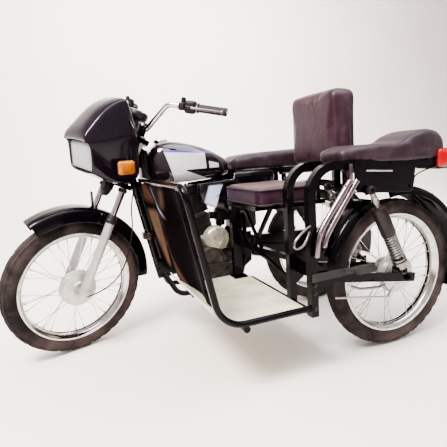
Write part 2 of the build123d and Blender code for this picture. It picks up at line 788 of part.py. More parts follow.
SEAT_BASE = SEAT_RAIL_Z + 11.0 + FIT
with BuildPart() as bike_seat:
    with BuildSketch(Plane.XZ.offset(-130)):
        with BuildLine():
            Polyline(
                (492, SEAT_BASE), (496, 772), (470, 792), (330, 806), (60, 812), (-60, 844),
                (-120, 858), (-190, 856), (-232, 822), (-228, 790), (-190, SEAT_BASE), close=True,
            )
        make_face()
    extrude(amount=260)
    with BuildSketch(Plane.XY.offset(700)):
        with BuildLine():
            Polyline(
                (498, -62), (498, 62), (440, 98), (300, 124), (-60, 124), (-200, 100),
                (-234, 60), (-234, -60), (-200, -100), (-60, -124), (300, -124), (440, -98),
                close=True,
            )
        make_face()
    extrude(amount=200, mode=Mode.INTERSECT)
finish(bike_seat, "bike_seat")

with BuildPart() as side_panels:
    for side in (-1, 1):
        with BuildSketch(side_plane(side * 117 - 2)):
            with BuildLine():
                Polyline(
                    (-505, 722), (-300, 722), (-292, 690), (-350, 560), (-470, 520), (-512, 600),
                    close=True,
                )
            make_face()
        extrude(amount=4)
        for x in (450, 320):
            with BuildSketch(Plane(origin=(x, side * (107 + FIT), 712), x_dir=(1, 0, 0), z_dir=(0, side, 0))):
                Circle(7)
            extrude(amount=10)
finish(side_panels, "side_panels")

# rear of the motorcycle
REAR_GUARD_R = 350.0
PLATE_X = -326.0
PLATE_Z = 468.0
PLATE_HOLES = 100.0
PLATE_HOLE_R = 3.2
with BuildPart() as bike_rear_guard:
    with BuildSketch(arc_section(REAR_AXLE, 196.0)):
        with BuildLine():
            Polyline(*guard_profile(REAR_GUARD_R, 62, 30), close=True)
        make_face()
    revolve(axis=Axis(REAR_AXLE, (0, 1, 0)), revolution_arc=150)
    for x, foot in ((-150.0, 604.0), (230.0, 552.0)):
        with BuildSketch(Plane.XY.offset(foot)):
            with Locations((x, 0)):
                Rectangle(16, 60)
        extrude(amount=SEAT_RAIL_Z - 9 - FIT - foot)
    # blank carrier for the rear number plate, with its two screw holes
    with BuildSketch(Plane(origin=(PLATE_X, 0, PLATE_Z), x_dir=(0, 1, 0), z_dir=(1, 0, 0))):
        RectangleRounded(150, 80, 8)
        with Locations((-PLATE_HOLES / 2, 0), (PLATE_HOLES / 2, 0)):
            Circle(PLATE_HOLE_R, mode=Mode.SUBTRACT)
    extrude(amount=3)
    with BuildSketch(Plane(origin=(PLATE_X + 3, 0, PLATE_Z), x_dir=(0, 1, 0), z_dir=(1, 0, 0))):
        Rectangle(50, 34)
    extrude(amount=17)
finish(bike_rear_guard, "bike_rear_guard")

with BuildPart() as bike_swingarm:
    with BuildSketch(Plane(origin=(PIVOT_X, -PLATE_Y + 3 + FIT, PIVOT_Z), x_dir=(1, 0, 0), z_dir=(0, 1, 0))):
        Circle(18)
    extrude(amount=2 * (PLATE_Y - 3 - FIT))
    for side in (-1, 1):
        start = (PIVOT_X - 4, side * (ARM_Y - 7), PIVOT_Z)
        end = (-34.0, side * (ARM_Y - 7), TYRE_R - 5)
        plane, length = between(start, end)
        plane = Plane(origin=start, x_dir=(0, 1, 0), z_dir=plane.z_dir)
        with BuildSketch(plane):
            Rectangle(16, 34)
        extrude(amount=length)
        with BuildSketch(Plane(origin=(SHOCK_LOW[0], side * 90, SHOCK_LOW[1]), x_dir=(1, 0, 0), z_dir=(0, side, 0))):
            Circle(6)
        extrude(amount=46)
        with BuildSketch(Plane(origin=(SHOCK_LOW[0], side * 84, 318), x_dir=(1, 0, 0), z_dir=(0, side, 0))):
            Rectangle(26, 54)
        extrude(amount=10)
    with BuildSketch(Plane(origin=(0, -118, TYRE_R), x_dir=(1, 0, 0), z_dir=(0, 1, 0))):
        Circle(AXLE_R)
    extrude(amount=236)
    for side in (-1, 1):
        with BuildSketch(Plane(origin=(0, side * 96, TYRE_R), x_dir=(1, 0, 0), z_dir=(0, side, 0))):
            RegularPolygon(12, 6)
        extrude(amount=12)
    with BuildSketch(Plane(origin=(0, -81, TYRE_R), x_dir=(1, 0, 0), z_dir=(0, 1, 0))):
        Circle(10)
    extrude(amount=81 - DRUM_FACE - PLATE_GAP - 17 - FIT)
finish(bike_swingarm, "bike_swingarm")

with BuildPart() as chain_case:
    with BuildSketch(side_plane(51.7)):
        with BuildLine():
            Polyline((-404, 412), (-404, 312), (0, 199), (40, 199), (40, 395), (0, 395), close=True)
        make_face()
        with Locations((0, TYRE_R)):
            Circle(98)
    extrude(amount=28)
    with BuildSketch(Plane(origin=(0, 45, TYRE_R), x_dir=(1, 0, 0), z_dir=(0, 1, 0))):
        Circle(AXLE_R + FIT)
    extrude(amount=40, mode=Mode.SUBTRACT)
finish(chain_case, "chain_case")

# shock absorbers
# foot X, Z, top X, Z, distance to the left
SHOCKS = (
    (SHOCK_LOW, SHOCK_TOP, SHOCK_Y),
    (SHOCK_LOW, SHOCK_TOP, -SHOCK_Y),
    ((104.0, 340.0), (252.0, 652.0), 718.0),
    ((104.0, 340.0), (252.0, 652.0), 474.0),
)
EYE_HALF = 9.0
with BuildPart() as shock_absorbers:
    for low, high, left in SHOCKS:
        for x, z in (low, high):
            with BuildSketch(Plane(origin=(x, left - EYE_HALF, z), x_dir=(1, 0, 0), z_dir=(0, 1, 0))):
                Circle(15)
            extrude(amount=2 * EYE_HALF)
        plane, length = between((low[0], left, low[1]), (high[0], left, high[1]))
        with BuildSketch(plane.offset(4)):
            Circle(8)
        extrude(amount=length - 8)
        with BuildSketch(plane.offset(26)):
            Circle(21)
        extrude(amount=length * 0.55)
        with BuildSketch(plane.offset(26 + length * 0.55)):
            Circle(25)
        extrude(amount=length * 0.45 - 48)
    for low, high, left in SHOCKS:
        for x, z in (low, high):
            with BuildSketch(Plane(origin=(x, left - 20, z), x_dir=(1, 0, 0), z_dir=(0, 1, 0))):
                Circle(6 + FIT)
            extrude(amount=40, mode=Mode.SUBTRACT)
finish(shock_absorbers, "shock_absorbers")

# foot controls
with BuildPart() as foot_controls:
    bar_z = CRADLE_Z - 12 - 9 - FIT
    with BuildSketch(Plane(origin=(PEG_X, -196, bar_z), x_dir=(1, 0, 0), z_dir=(0, 1, 0))):
        Circle(9)
    extrude(amount=310)
    with BuildSketch(Plane(origin=(PEG_X, -196, bar_z - 4), z_dir=(0, 0, 1))):
        Rectangle(20, 18)
    extrude(amount=136)
    with BuildSketch(Plane(origin=(PEG_X, -188, bar_z + 124), x_dir=(1, 0, 0), z_dir=(0, -1, 0))):
        Circle(13)
    extrude(amount=104)
    # gear lever on the left cover
    cover = 68 + 52 + FIT
    with BuildSketch(Plane(origin=(536, 68 + 26 + FIT, 300), x_dir=(1, 0, 0), z_dir=(0, 1, 0))):
        Circle(9)
    extrude(amount=40)
    with BuildSketch(side_plane(cover + 4)):
        with BuildLine():
            Polyline((-522, 291), (-522, 309), (-676, 322), (-676, 308), close=True)
        make_face()
    extrude(amount=9)
    with BuildSketch(Plane(origin=(672, cover + 6, 315), x_dir=(1, 0, 0), z_dir=(0, 1, 0))):
        Circle(10)
    extrude(amount=46)
    # kick lever on the right cover
    with BuildSketch(Plane(origin=(541, -(68 + 26 + FIT), 330), x_dir=(1, 0, 0), z_dir=(0, -1, 0))):
        Circle(12)
    extrude(amount=48)
    plane, length = between((541, -138, 330), (470, -150, 470))
    with BuildSketch(plane):
        Circle(8)
    extrude(amount=length)
    with BuildSketch(Plane(origin=(470, -142, 470), x_dir=(1, 0, 0), z_dir=(0, -1, 0))):
        Circle(10)
    extrude(amount=70)
    # folded peg on the carriage's outer post
    peg_y = POST_OUTER_Y + POST_W / 2 + FIT
    with BuildSketch(side_plane(peg_y)):
        with BuildLine():
            Polyline((-492, 360), (-492, 388), (-300, 386), (-300, 364), close=True)
        make_face()
    extrude(amount=8)
    with BuildSketch(Plane(origin=(284, peg_y + 4, 376), x_dir=(1, 0, 0), z_dir=(0, 1, 0))):
        RectangleRounded(82, 22, 8)
    extrude(amount=32)
finish(foot_controls, "foot_controls")

# carriage frame
SIDE_RAIL_Z = 746.0
POSTS = (POST_INNER_Y, POST_OUTER_Y)
POST_FOOT_Z = 232.0
FLOOR_TUBE_Z = 240.0
FLOOR_TUBE_R = 12.0
CROSS_Z = 738.0
CROSS_LOW_Z = 708.0
CRADLE_SIDE = 92.0 + 12.0 + FIT
RAIL_SIDE = 96.0 + 11.0 + FIT

# tube radius, bend radius, points
CARRIAGE_TUBES = (
    (RAIL_R, (100.0, 45.0), ((POST_X + 8, BOARD_NEAR_Y, BOARD_Z), (RAIL_FOOT_X, BOARD_NEAR_Y, BOARD_Z),
                             (RAIL_TOP[0], BOARD_NEAR_Y, RAIL_TOP[1]), (RAIL_TOP[0], 24.0, RAIL_TOP[1]))),
    (FLOOR_TUBE_R, 40.0, ((POST_X, BOARD_NEAR_Y, FLOOR_TUBE_Z), (POST_X, 190.0, FLOOR_TUBE_Z),
                          (580.0, CRADLE_SIDE + 13, CRADLE_Z + 2))),
    (FLOOR_TUBE_R, 40.0, ((735.0, BOARD_NEAR_Y, FLOOR_TUBE_Z), (735.0, 190.0, FLOOR_TUBE_Z),
                          (735.0, CRADLE_SIDE + 13, CRADLE_Z + 2))),
    (12.0, 60.0, ((250.0, POST_OUTER_Y, CROSS_Z), (250.0, RAIL_SIDE + 3, CROSS_LOW_Z))),
    (12.0, 60.0, ((100.0, POST_OUTER_Y, CROSS_Z), (100.0, RAIL_SIDE + 3, CROSS_LOW_Z))),
    (12.0, 60.0, ((-40.0, POST_OUTER_Y, CROSS_Z), (-40.0, RAIL_SIDE + 3, CROSS_LOW_Z))),
)
# clamp blocks where the carriage meets the motorcycle: X, inner face Y, Z, length, size
CLAMPS = (
    (580.0, CRADLE_SIDE, CRADLE_Z, 22.0, 30.0),
    (735.0, CRADLE_SIDE, CRADLE_Z, 22.0, 30.0),
    (250.0, RAIL_SIDE, CROSS_LOW_Z, 18.0, 28.0),
    (100.0, RAIL_SIDE, CROSS_LOW_Z, 18.0, 28.0),
    (-40.0, RAIL_SIDE, CROSS_LOW_Z, 18.0, 28.0),
    (921.0, 17.0 + FIT, 703.0, 22.0, 24.0),
)
SIDE_SHOCK_TOP = (252.0, 652.0)
SIDE_SHOCK_Y = (474.0, 718.0)

with BuildPart() as carriage_frame:
    for left in POSTS:
        path = (
            (POST_X, left, POST_FOOT_Z),
            (POST_X, left, SIDE_RAIL_Z),
            (-100.0, left, SIDE_RAIL_Z),
        )
        with BuildLine() as run:
            FilletPolyline(*path, radius=95)
        with BuildSketch(Plane(origin=path[0], x_dir=(1, 0, 0), z_dir=(0, 0, 1))):
            Rectangle(POST_W, POST_W)
        sweep(path=run.line)
    for radius, bend, points in CARRIAGE_TUBES:
        with BuildLine() as run:
            if len(points) > 2:
                FilletPolyline(*points, radius=bend)
            else:
                Line(*points)
        with BuildSketch(Plane(origin=run.line @ 0, z_dir=run.line % 0)):
            Circle(radius)
        sweep(path=run.line)
    for x, left, z, length, size in CLAMPS:
        with BuildSketch(Plane(origin=(x, left, z), x_dir=(1, 0, 0), z_dir=(0, 1, 0))):
            RectangleRounded(size, size, 4)
        extrude(amount=length)
    for left, hole in ((POST_INNER_Y - 3, 16 + FIT), (POST_OUTER_Y + 4, 7 + FIT)):
        with BuildSketch(side_plane(left)):
            with BuildLine():
                Polyline(
                    (-478, 300), (-430, 330), (-414, 350), (-414, 376), (-430, 394), (-478, 430),
                    close=True,
                )
            make_face()
        extrude(amount=6)
        with BuildSketch(Plane(origin=(SIDE_PIVOT_X, left - 4, PIVOT_Z), x_dir=(1, 0, 0), z_dir=(0, 1, 0))):
            Circle(hole)
        extrude(amount=14, mode=Mode.SUBTRACT)
    for left, reach in ((POST_OUTER_Y + 11, SIDE_SHOCK_Y[1] + 14), (POST_INNER_Y - 11, SIDE_SHOCK_Y[0] - 14)):
        way = 1 if reach > left else -1
        with BuildSketch(Plane(origin=(SIDE_SHOCK_TOP[0], left - 3, 692), x_dir=(1, 0, 0), z_dir=(0, 1, 0))):
            Rectangle(26, 104)
        extrude(amount=6)
        with BuildSketch(Plane(origin=(SIDE_SHOCK_TOP[0], left, SIDE_SHOCK_TOP[1]), x_dir=(1, 0, 0), z_dir=(0, way, 0))):
            Circle(6)
        extrude(amount=abs(reach - left))
    for left in (250.0, 420.0):
        with BuildSketch(Plane.XY.offset(700)):
            with Locations((115.5, left)):
                Rectangle(18, 34)
        extrude(amount=250)
finish(carriage_frame, "carriage_frame")

# cushion, stand and backrest
STAND_TOP = CUSHION[4] - FIT
BOARD_TOP = FLOOR_TUBE_Z + FLOOR_TUBE_R + FIT + 4
BAR = 18.0
STAND_X = (241.0, 562.0)
STAND_Y = (162.0, 440.0)
with BuildPart() as cushion_stand:
    with BuildSketch(Plane.XY.offset(STAND_TOP)):
        with Locations(((STAND_X[0] + STAND_X[1]) / 2, (STAND_Y[0] + STAND_Y[1]) / 2)):
            Rectangle(STAND_X[1] - STAND_X[0], STAND_Y[1] - STAND_Y[0])
            Rectangle(
                STAND_X[1] - STAND_X[0] - 2 * BAR, STAND_Y[1] - STAND_Y[0] - 2 * BAR,
                mode=Mode.SUBTRACT,
            )
    extrude(amount=-BAR)
    with BuildSketch(Plane.XY.offset(BOARD_TOP + FIT)):
        with Locations((538, 178)):
            Rectangle(40, 30)
    extrude(amount=STAND_TOP - BOARD_TOP - FIT - 4)
    with BuildSketch(Plane.XY.offset(BOARD_TOP + FIT)):
        with Locations((538, 188)):
            Rectangle(64, 60)
    extrude(amount=5)
    inner_face = POST_INNER_Y - POST_W / 2 - FIT
    for start, end, wide in (
        ((530, 180, 412), (482, inner_face, 412), 20),
        ((510, 300, 412), (486, 428, STAND_TOP - 8), 14),
        ((520, 260, 412), (548, 176, STAND_TOP - 60), 14),
        ((500, 360, 412), (560, 330, STAND_TOP - 8), 12),
        ((480, 430, STAND_TOP - 9), (480, inner_face, STAND_TOP - 9), 16),
        ((510, 300, 412), (482, inner_face, 330), 12),
    ):
        plane, length = between(start, end)
        with BuildSketch(plane):
            Rectangle(wide, wide)
        extrude(amount=length - 0.1)
    for left in (200.0, 400.0):
        share = (left - RAIL_SIDE - 3) / (POST_OUTER_Y - RAIL_SIDE - 3)
        tube_z = CROSS_LOW_Z + share * (CROSS_Z - CROSS_LOW_Z)
        with BuildSketch(Plane.XY.offset(STAND_TOP - BAR)):
            with Locations((250, left)):
                Rectangle(16, 16)
        extrude(amount=tube_z - 12.6 - STAND_TOP + BAR)
    with BuildSketch(Plane.XZ.offset(-(POST_INNER_Y - POST_W / 2 - FIT))):
        with Locations((POST_X + 30, 800)):
            Rectangle(400, 1300)
    extrude(amount=-60, mode=Mode.SUBTRACT)
finish(cushion_stand, "cushion_stand")

with BuildPart() as side_cushion:
    with BuildSketch(Plane.XY.offset(CUSHION[4])):
        with Locations(((CUSHION[0] + CUSHION[1]) / 2, (CUSHION[2] + CUSHION[3]) / 2)):
            RectangleRounded(CUSHION[1] - CUSHION[0], CUSHION[3] - CUSHION[2], 30)
    extrude(amount=CUSHION[5] - CUSHION[4])
    fillet(side_cushion.edges().group_by(Axis.Z)[-1], 14)
finish(side_cushion, "side_cushion")

with BuildPart() as side_backrest:
    with BuildSketch(Plane(origin=(BACKREST[0], 0, 0), x_dir=(0, 1, 0), z_dir=(1, 0, 0))):
        with Locations(((BACKREST[2] + BACKREST[3]) / 2, (BACKREST[4] + BACKREST[5]) / 2)):
            RectangleRounded(BACKREST[3] - BACKREST[2], BACKREST[5] - BACKREST[4], 26)
    extrude(amount=BACKREST[1] - BACKREST[0])
    fillet(side_backrest.edges().group_by(Axis.X)[-1], 12)
finish(side_backrest, "side_backrest")

# floor and leg shield
BOARD_BASE = FLOOR_TUBE_Z + FLOOR_TUBE_R + FIT
BEND_X = 746.0
BEND_R = 100.0
INSIDE_Y = BOARD_NEAR_Y - RAIL_R - FIT
LEAN = math.atan2(RAIL_TOP[0] - RAIL_FOOT_X, RAIL_TOP[1] - BOARD_Z)
with BuildPart() as footboard:
    turns = [math.radians(t) for t in (22, 44, 66)]
    lower = [(BEND_X + (BEND_R + 9.7) * math.sin(t), 362 - (BEND_R + 9.7) * math.cos(t)) for t in turns]
    upper = [(BEND_X + (BEND_R + 5.7) * math.sin(t), 362 - (BEND_R + 5.7) * math.cos(t)) for t in turns]
    with BuildSketch(Plane.XZ.offset(-BOARD_FAR_Y - 10)):
        with BuildLine():
            Polyline(
                (POST_X + 15, BOARD_BASE), (BEND_X, BOARD_BASE), *lower,
                *reversed(upper), (BEND_X, BOARD_TOP), (POST_X + 15, BOARD_TOP), close=True,
            )
        make_face()
    extrude(amount=-(INSIDE_Y - BOARD_FAR_Y - 10))
finish(footboard, "footboard")

SHIELD_UP = (math.sin(LEAN), 0.0, math.cos(LEAN))
SHIELD_FOOT = (RAIL_FOOT_X + (BOARD_Z + 74 - BOARD_Z) * math.tan(LEAN) + 8, 0.0, BOARD_Z + 74)
with BuildPart() as leg_shield:
    length = (RAIL_TOP[1] - SHIELD_FOOT[2]) / math.cos(LEAN) - RAIL_R - 2.0
    with BuildSketch(Plane(origin=SHIELD_FOOT, x_dir=(0, 1, 0), z_dir=SHIELD_UP)):
        with BuildLine():
            Polyline(
                (50, 0), (80, 0), (150, -14), (250, -4), (330, 4), (420, -4), (540, -14), (630, 0),
                (INSIDE_Y, 0), (INSIDE_Y, 3), (630, 3), (540, -11), (420, -1), (330, 7), (250, -1),
                (150, -11), (80, 3), (50, 3), close=True,
            )
        make_face()
    extrude(amount=length)
    corner = leg_shield.edges().filter_by(lambda e: e.length < 3.2 and e.center().Y > INSIDE_Y - 0.1)
    fillet(corner.sort_by(Axis.Z)[-1], 44)
finish(leg_shield, "leg_shield")

# carriage seat and covers
PAN_BASE = SIDE_RAIL_Z + POST_W / 2 + FIT
SIDE_SEAT_BASE = PAN_BASE + 6 + FIT
with BuildPart() as carriage_seat:
    with BuildSketch(Plane.XZ.offset(-(SIDE_SEAT_Y - 130))):
        with BuildLine():
            Polyline(
                (348, SIDE_SEAT_BASE), (354, 784), (340, 802), (300, 810), (0, 806), (-60, 826),
                (-110, 850), (-190, 852), (-230, 826), (-236, 796), (-214, SIDE_SEAT_BASE),
                close=True,
            )
        make_face()
    extrude(amount=-260)
    with BuildSketch(Plane.XY.offset(700)):
        with BuildLine():
            Polyline(
                *((x, SIDE_SEAT_Y + y) for x, y in (
                    (356, -58), (356, 58), (330, 78), (220, 104), (-60, 112), (-200, 96),
                    (-238, 60), (-238, -60), (-200, -96), (-60, -112), (220, -104), (330, -78),
                )),
                close=True,
            )
        make_face()
    extrude(amount=200, mode=Mode.INTERSECT)
finish(carriage_seat, "carriage_seat")

with BuildPart() as carriage_cover:
    with BuildSketch(Plane.XY.offset(PAN_BASE)):
        with BuildLine():
            Polyline(
                *((x, SIDE_SEAT_Y + y) for x, y in (
                    (352, -60), (352, 60), (326, 80), (220, 101), (-60, 108), (-196, 92),
                    (-232, 56), (-232, -56), (-196, -92), (-60, -108), (220, -101), (326, -80),
                )),
                close=True,
            )
        make_face()
    extrude(amount=6)
    with BuildSketch(side_plane(POST_OUTER_Y + POST_W / 2 + FIT)):
        with BuildLine():
            Polyline((-312, PAN_BASE + 6), (90, PAN_BASE + 6), (80, 690), (-60, 676), (-290, 676), close=True)
        make_face()
    extrude(amount=3)
finish(carriage_cover, "carriage_cover")

SIDE_GUARD_R = 350.0
# the guard behind the top of the wheel and the splash flap before it: first angle, angle swept
SIDE_GUARD_ARCS = ((200.0, 121.0), (60.0, 40.0))
with BuildPart() as carriage_guard:
    for first, swept in SIDE_GUARD_ARCS:
        with BuildSketch(arc_section(SIDE_AXLE, first)):
            with BuildLine():
                Polyline(*guard_profile(SIDE_GUARD_R, 66, 34), close=True)
            make_face()
        revolve(axis=Axis(SIDE_AXLE, (0, 1, 0)), revolution_arc=swept)
    with BuildSketch(Plane.XY.offset(592)):
        with Locations((234, SIDE_WHEEL_Y)):
            Rectangle(44, 50)
    extrude(amount=14)
    stay_top = CROSS_LOW_Z + 0.83 * (CROSS_Z - CROSS_LOW_Z) - 12 - FIT
    for x, foot in ((-40.0, 634.0), (100.0, 640.0), (250.0, 602.0)):
        with BuildSketch(Plane.XY.offset(foot)):
            with Locations((x, SIDE_WHEEL_Y)):
                Rectangle(12, 50)
        extrude(amount=stay_top - foot - 1.1)
finish(carriage_guard, "carriage_guard")

# carriage suspension
with BuildPart() as carriage_swingarm:
    with BuildSketch(Plane(origin=(SIDE_PIVOT_X, SIDE_WHEEL_Y - 96, PIVOT_Z), x_dir=(1, 0, 0), z_dir=(0, 1, 0))):
        Circle(16)
    extrude(amount=POST_OUTER_Y + 4 - FIT - SIDE_WHEEL_Y + 96)
    for side in (-1, 1):
        left = SIDE_WHEEL_Y + side * 88
        start = (SIDE_PIVOT_X - 4, left, PIVOT_Z)
        end = (SIDE_WHEEL_X - 36, left, TYRE_R - 6)
        plane, length = between(start, end)
        with BuildSketch(Plane(origin=start, x_dir=(0, 1, 0), z_dir=plane.z_dir)):
            Rectangle(16, 34)
        extrude(amount=length)
        pin_from = SIDE_WHEEL_Y + side * 90
        pin_to = SIDE_SHOCK_Y[1] + 14 if side > 0 else SIDE_SHOCK_Y[0] - 14
        with BuildSketch(Plane(origin=(104, pin_from, 340), x_dir=(1, 0, 0), z_dir=(0, side, 0))):
            Circle(6)
        extrude(amount=abs(pin_to - pin_from))
        with BuildSketch(Plane(origin=(104, SIDE_WHEEL_Y + side * 84, 324), x_dir=(1, 0, 0), z_dir=(0, side, 0))):
            Rectangle(26, 54)
        extrude(amount=8)
        with BuildSketch(
            Plane(origin=(SIDE_WHEEL_X, SIDE_WHEEL_Y + side * 95, TYRE_R), x_dir=(1, 0, 0), z_dir=(0, side, 0))
        ):
            RegularPolygon(12, 6)
        extrude(amount=12)
    with BuildSketch(Plane(origin=(SIDE_WHEEL_X, SIDE_WHEEL_Y - 114, TYRE_R), x_dir=(1, 0, 0), z_dir=(0, 1, 0))):
        Circle(AXLE_R)
    extrude(amount=228)
    with BuildSketch(
        Plane(origin=(SIDE_WHEEL_X, SIDE_WHEEL_Y + DRUM_FACE + PLATE_GAP + 17 + FIT, TYRE_R), x_dir=(1, 0, 0), z_dir=(0, 1, 0))
    ):
        Circle(10)
    extrude(amount=22)
finish(carriage_swingarm, "carriage_swingarm")

# lamps and bright stays
with BuildPart() as tail_lamps:
    with BuildSketch(Plane.XY.offset(660)):
        with Locations((-248, 0)):
            RectangleRounded(60, 112, 10)
    extrude(amount=SEAT_BASE - FIT - 662)
    with BuildSketch(Plane.XY.offset(688)):
        with Locations((-158 - FIT - 33, 0)):
            Rectangle(66, 60)
    extrude(amount=SEAT_RAIL_Z - 9 - FIT - 688)
    with BuildSketch(Plane.XY.offset(694)):
        with Locations((-180, SIDE_SEAT_Y)):
            RectangleRounded(118, 132, 16)
    extrude(amount=PAN_BASE - FIT - 694)
finish(tail_lamps, "tail_lamps")

with BuildPart() as chrome_stays:
    face = POST_OUTER_Y + POST_W / 2 + FIT
    for shift in (0.0, 26.0):
        plane, length = between((480 - shift, face + 9, 520 - shift / 3), (334 - shift, face + 9, 690))
        with BuildSketch(plane):
            Circle(7)
        extrude(amount=length)
    with BuildSketch(Plane(origin=(480, face, 520), x_dir=(1, 0, 0), z_dir=(0, 1, 0))):
        Circle(7)
    extrude(amount=9)
    plane, length = between((484, face + 9, 520), (450, face + 9, 511))
    with BuildSketch(plane):
        Circle(6)
    extrude(amount=length)
    with BuildSketch(Plane(origin=(331, face, 710), x_dir=(1, 0, 0), z_dir=(0, 1, 0))):
        Rectangle(16, 76)
    extrude(amount=14)
    plane, length = between((331, face + 9, 688), (306, face + 9, 688))
    with BuildSketch(plane):
        Circle(6)
    extrude(amount=length)
finish(chrome_stays, "chrome_stays")

# write the files
boxes = [builder.part.bounding_box() for builder in pieces.values()]
low_corner = [min(getattr(box.min, axis) for box in boxes) for axis in "XYZ"]
high_corner = [max(getattr(box.max, axis) for box in boxes) for axis in "XYZ"]
middle = (
    (low_corner[0] + high_corner[0]) / 2,
    (low_corner[1] + high_corner[1]) / 2,
    low_corner[2],
)
print("corners", [round(v, 2) for v in low_corner], [round(v, 2) for v in high_corner])

os.makedirs("parts", exist_ok=True)
for label, builder in pieces.items():
    builder.part = builder.part.moved(Location((-middle[0], -middle[1], -middle[2])))
    builder.part.label = label
    export_step(builder.part, "parts/" + label + ".step")
    print(label, round(builder.part.volume / 1000), len(builder.part.solids()), builder.part.is_valid)
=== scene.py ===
import json
import math

import bpy
from mathutils import Matrix, Vector


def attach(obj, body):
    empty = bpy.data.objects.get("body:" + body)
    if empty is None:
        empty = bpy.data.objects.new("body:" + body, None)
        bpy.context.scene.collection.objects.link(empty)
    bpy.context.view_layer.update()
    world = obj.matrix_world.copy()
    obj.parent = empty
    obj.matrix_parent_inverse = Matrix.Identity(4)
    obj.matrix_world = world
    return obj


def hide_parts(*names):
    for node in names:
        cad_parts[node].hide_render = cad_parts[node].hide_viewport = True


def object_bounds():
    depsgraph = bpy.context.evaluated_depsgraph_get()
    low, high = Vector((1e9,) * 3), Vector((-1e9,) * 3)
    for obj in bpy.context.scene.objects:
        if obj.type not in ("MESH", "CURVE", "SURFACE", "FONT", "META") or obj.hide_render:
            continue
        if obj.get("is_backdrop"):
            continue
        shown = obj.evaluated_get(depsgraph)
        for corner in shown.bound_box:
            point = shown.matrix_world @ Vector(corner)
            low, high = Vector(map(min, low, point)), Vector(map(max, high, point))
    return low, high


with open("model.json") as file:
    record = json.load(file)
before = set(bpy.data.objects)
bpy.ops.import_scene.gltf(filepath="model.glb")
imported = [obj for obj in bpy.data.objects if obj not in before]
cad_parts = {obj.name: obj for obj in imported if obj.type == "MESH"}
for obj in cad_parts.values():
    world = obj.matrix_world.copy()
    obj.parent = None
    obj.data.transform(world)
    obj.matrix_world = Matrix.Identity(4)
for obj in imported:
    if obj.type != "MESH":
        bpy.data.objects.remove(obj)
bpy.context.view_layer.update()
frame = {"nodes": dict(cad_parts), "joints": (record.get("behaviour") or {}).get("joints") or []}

bl_info = {
    "name": "Motorcycle with side carriage",
    "version": (1, 0, 0),
    "blender": (4, 5, 0),
    "location": "View3D > Sidebar > Outfit",
    "description": "Tyres, wheels, seats, paintwork and small parts of a three-wheeled motorcycle outfit",
    "category": "Add Mesh",
}

MM = 0.001
JOINTS = {joint["name"]: joint for joint in frame["joints"]}
REAR_AXLE = Vector(JOINTS["rear_spin"]["pos_m"])
HEAD_FOOT = Vector(JOINTS["steer"]["pos_m"])
HEAD_AXIS = Vector(JOINTS["steer"]["axis"]).normalized()
BAR_TURN = math.radians(20.0)
STEERED = (
    Matrix.Translation(HEAD_FOOT)
    @ Matrix.Rotation(BAR_TURN, 4, HEAD_AXIS)
    @ Matrix.Translation(-HEAD_FOOT)
)
FRONT_BODIES = ("front_roller", "steering")
FORE = Vector((HEAD_AXIS.z, 0.0, -HEAD_AXIS.x))
FORWARD = Vector((1.0, 0.0, 0.0))
LEFT = Vector((0.0, 1.0, 0.0))
UP = Vector((0.0, 0.0, 1.0))

# main sizes in millimetres; the fork's axle lies ahead of the steering axis by AXLE_FORE
WHEELBASE = 1235.0
TYRE_R = 297.0
TRAIL = 92.0
RAKE = math.radians(26.5)
AXLE_FORE = TYRE_R * math.sin(RAKE) - TRAIL * math.cos(RAKE)
SIDE_AXLE_X = 50.0
SIDE_WHEEL_Y = 592.0
CARRIAGE_SEAT_Y = 612.0

# the signs and first angle of each corner of a rounded rectangle
CORNERS = ((1, 1, 0), (-1, 1, 90), (-1, -1, 180), (1, -1, 270))

GRAIN_STRENGTH = 0.35
# the wave texture's Scale whose ridges lie 1 mm apart
RIDGES = 314.0


def at(x, y, z):
    """Point in millimetres from the ground under the rear axle, as a place in the frame."""
    return Vector(
        (REAR_AXLE.x + x * MM, REAR_AXLE.y + y * MM, REAR_AXLE.z + (z - TYRE_R) * MM)
    )


def on_steer(along, fore, side=0.0):
    """Point up the steering axis, ahead of it and to its left, before the bars are turned."""
    return HEAD_FOOT + HEAD_AXIS * along * MM + FORE * fore * MM + LEFT * side * MM


# modelling by hand, step by step


def bare():
    """Leave edit mode and select nothing."""
    if bpy.context.object and bpy.context.object.mode != "OBJECT":
        bpy.ops.object.mode_set(mode="OBJECT")
    bpy.ops.object.select_all(action="DESELECT")


def pick(*objects):
    """Select only these objects; the first is the active one."""
    bare()
    for obj in objects:
        obj.select_set(True)
    bpy.context.view_layer.objects.active = objects[0]
    return objects[0]


def settle(obj):
    """Put the object's place into its mesh, so that the object sits at the origin."""
    pick(obj)
    bpy.ops.object.transform_apply(location=True, rotation=True, scale=True)
    return obj


def named(obj, name):
    """Give an object and its mesh one name."""
    obj.name = name
    obj.data.name = name
    return obj


def edit(obj, mode="FACE"):
    """Open an object for editing with nothing selected."""
    pick(obj)
    bpy.ops.object.mode_set(mode="EDIT")
    bpy.ops.mesh.select_mode(type=mode)
    bpy.ops.mesh.select_all(action="DESELECT")


def choose(obj, test, kind="polygons"):
    """Select in edit mode the vertices, edges or faces whose element passes a test."""
    bpy.ops.object.mode_set(mode="OBJECT")
    for elements in (obj.data.vertices, obj.data.edges, obj.data.polygons):
        for element in elements:
            element.select = False
    for element in getattr(obj.data, kind):
        element.select = test(element)
    bpy.ops.object.mode_set(mode="EDIT")


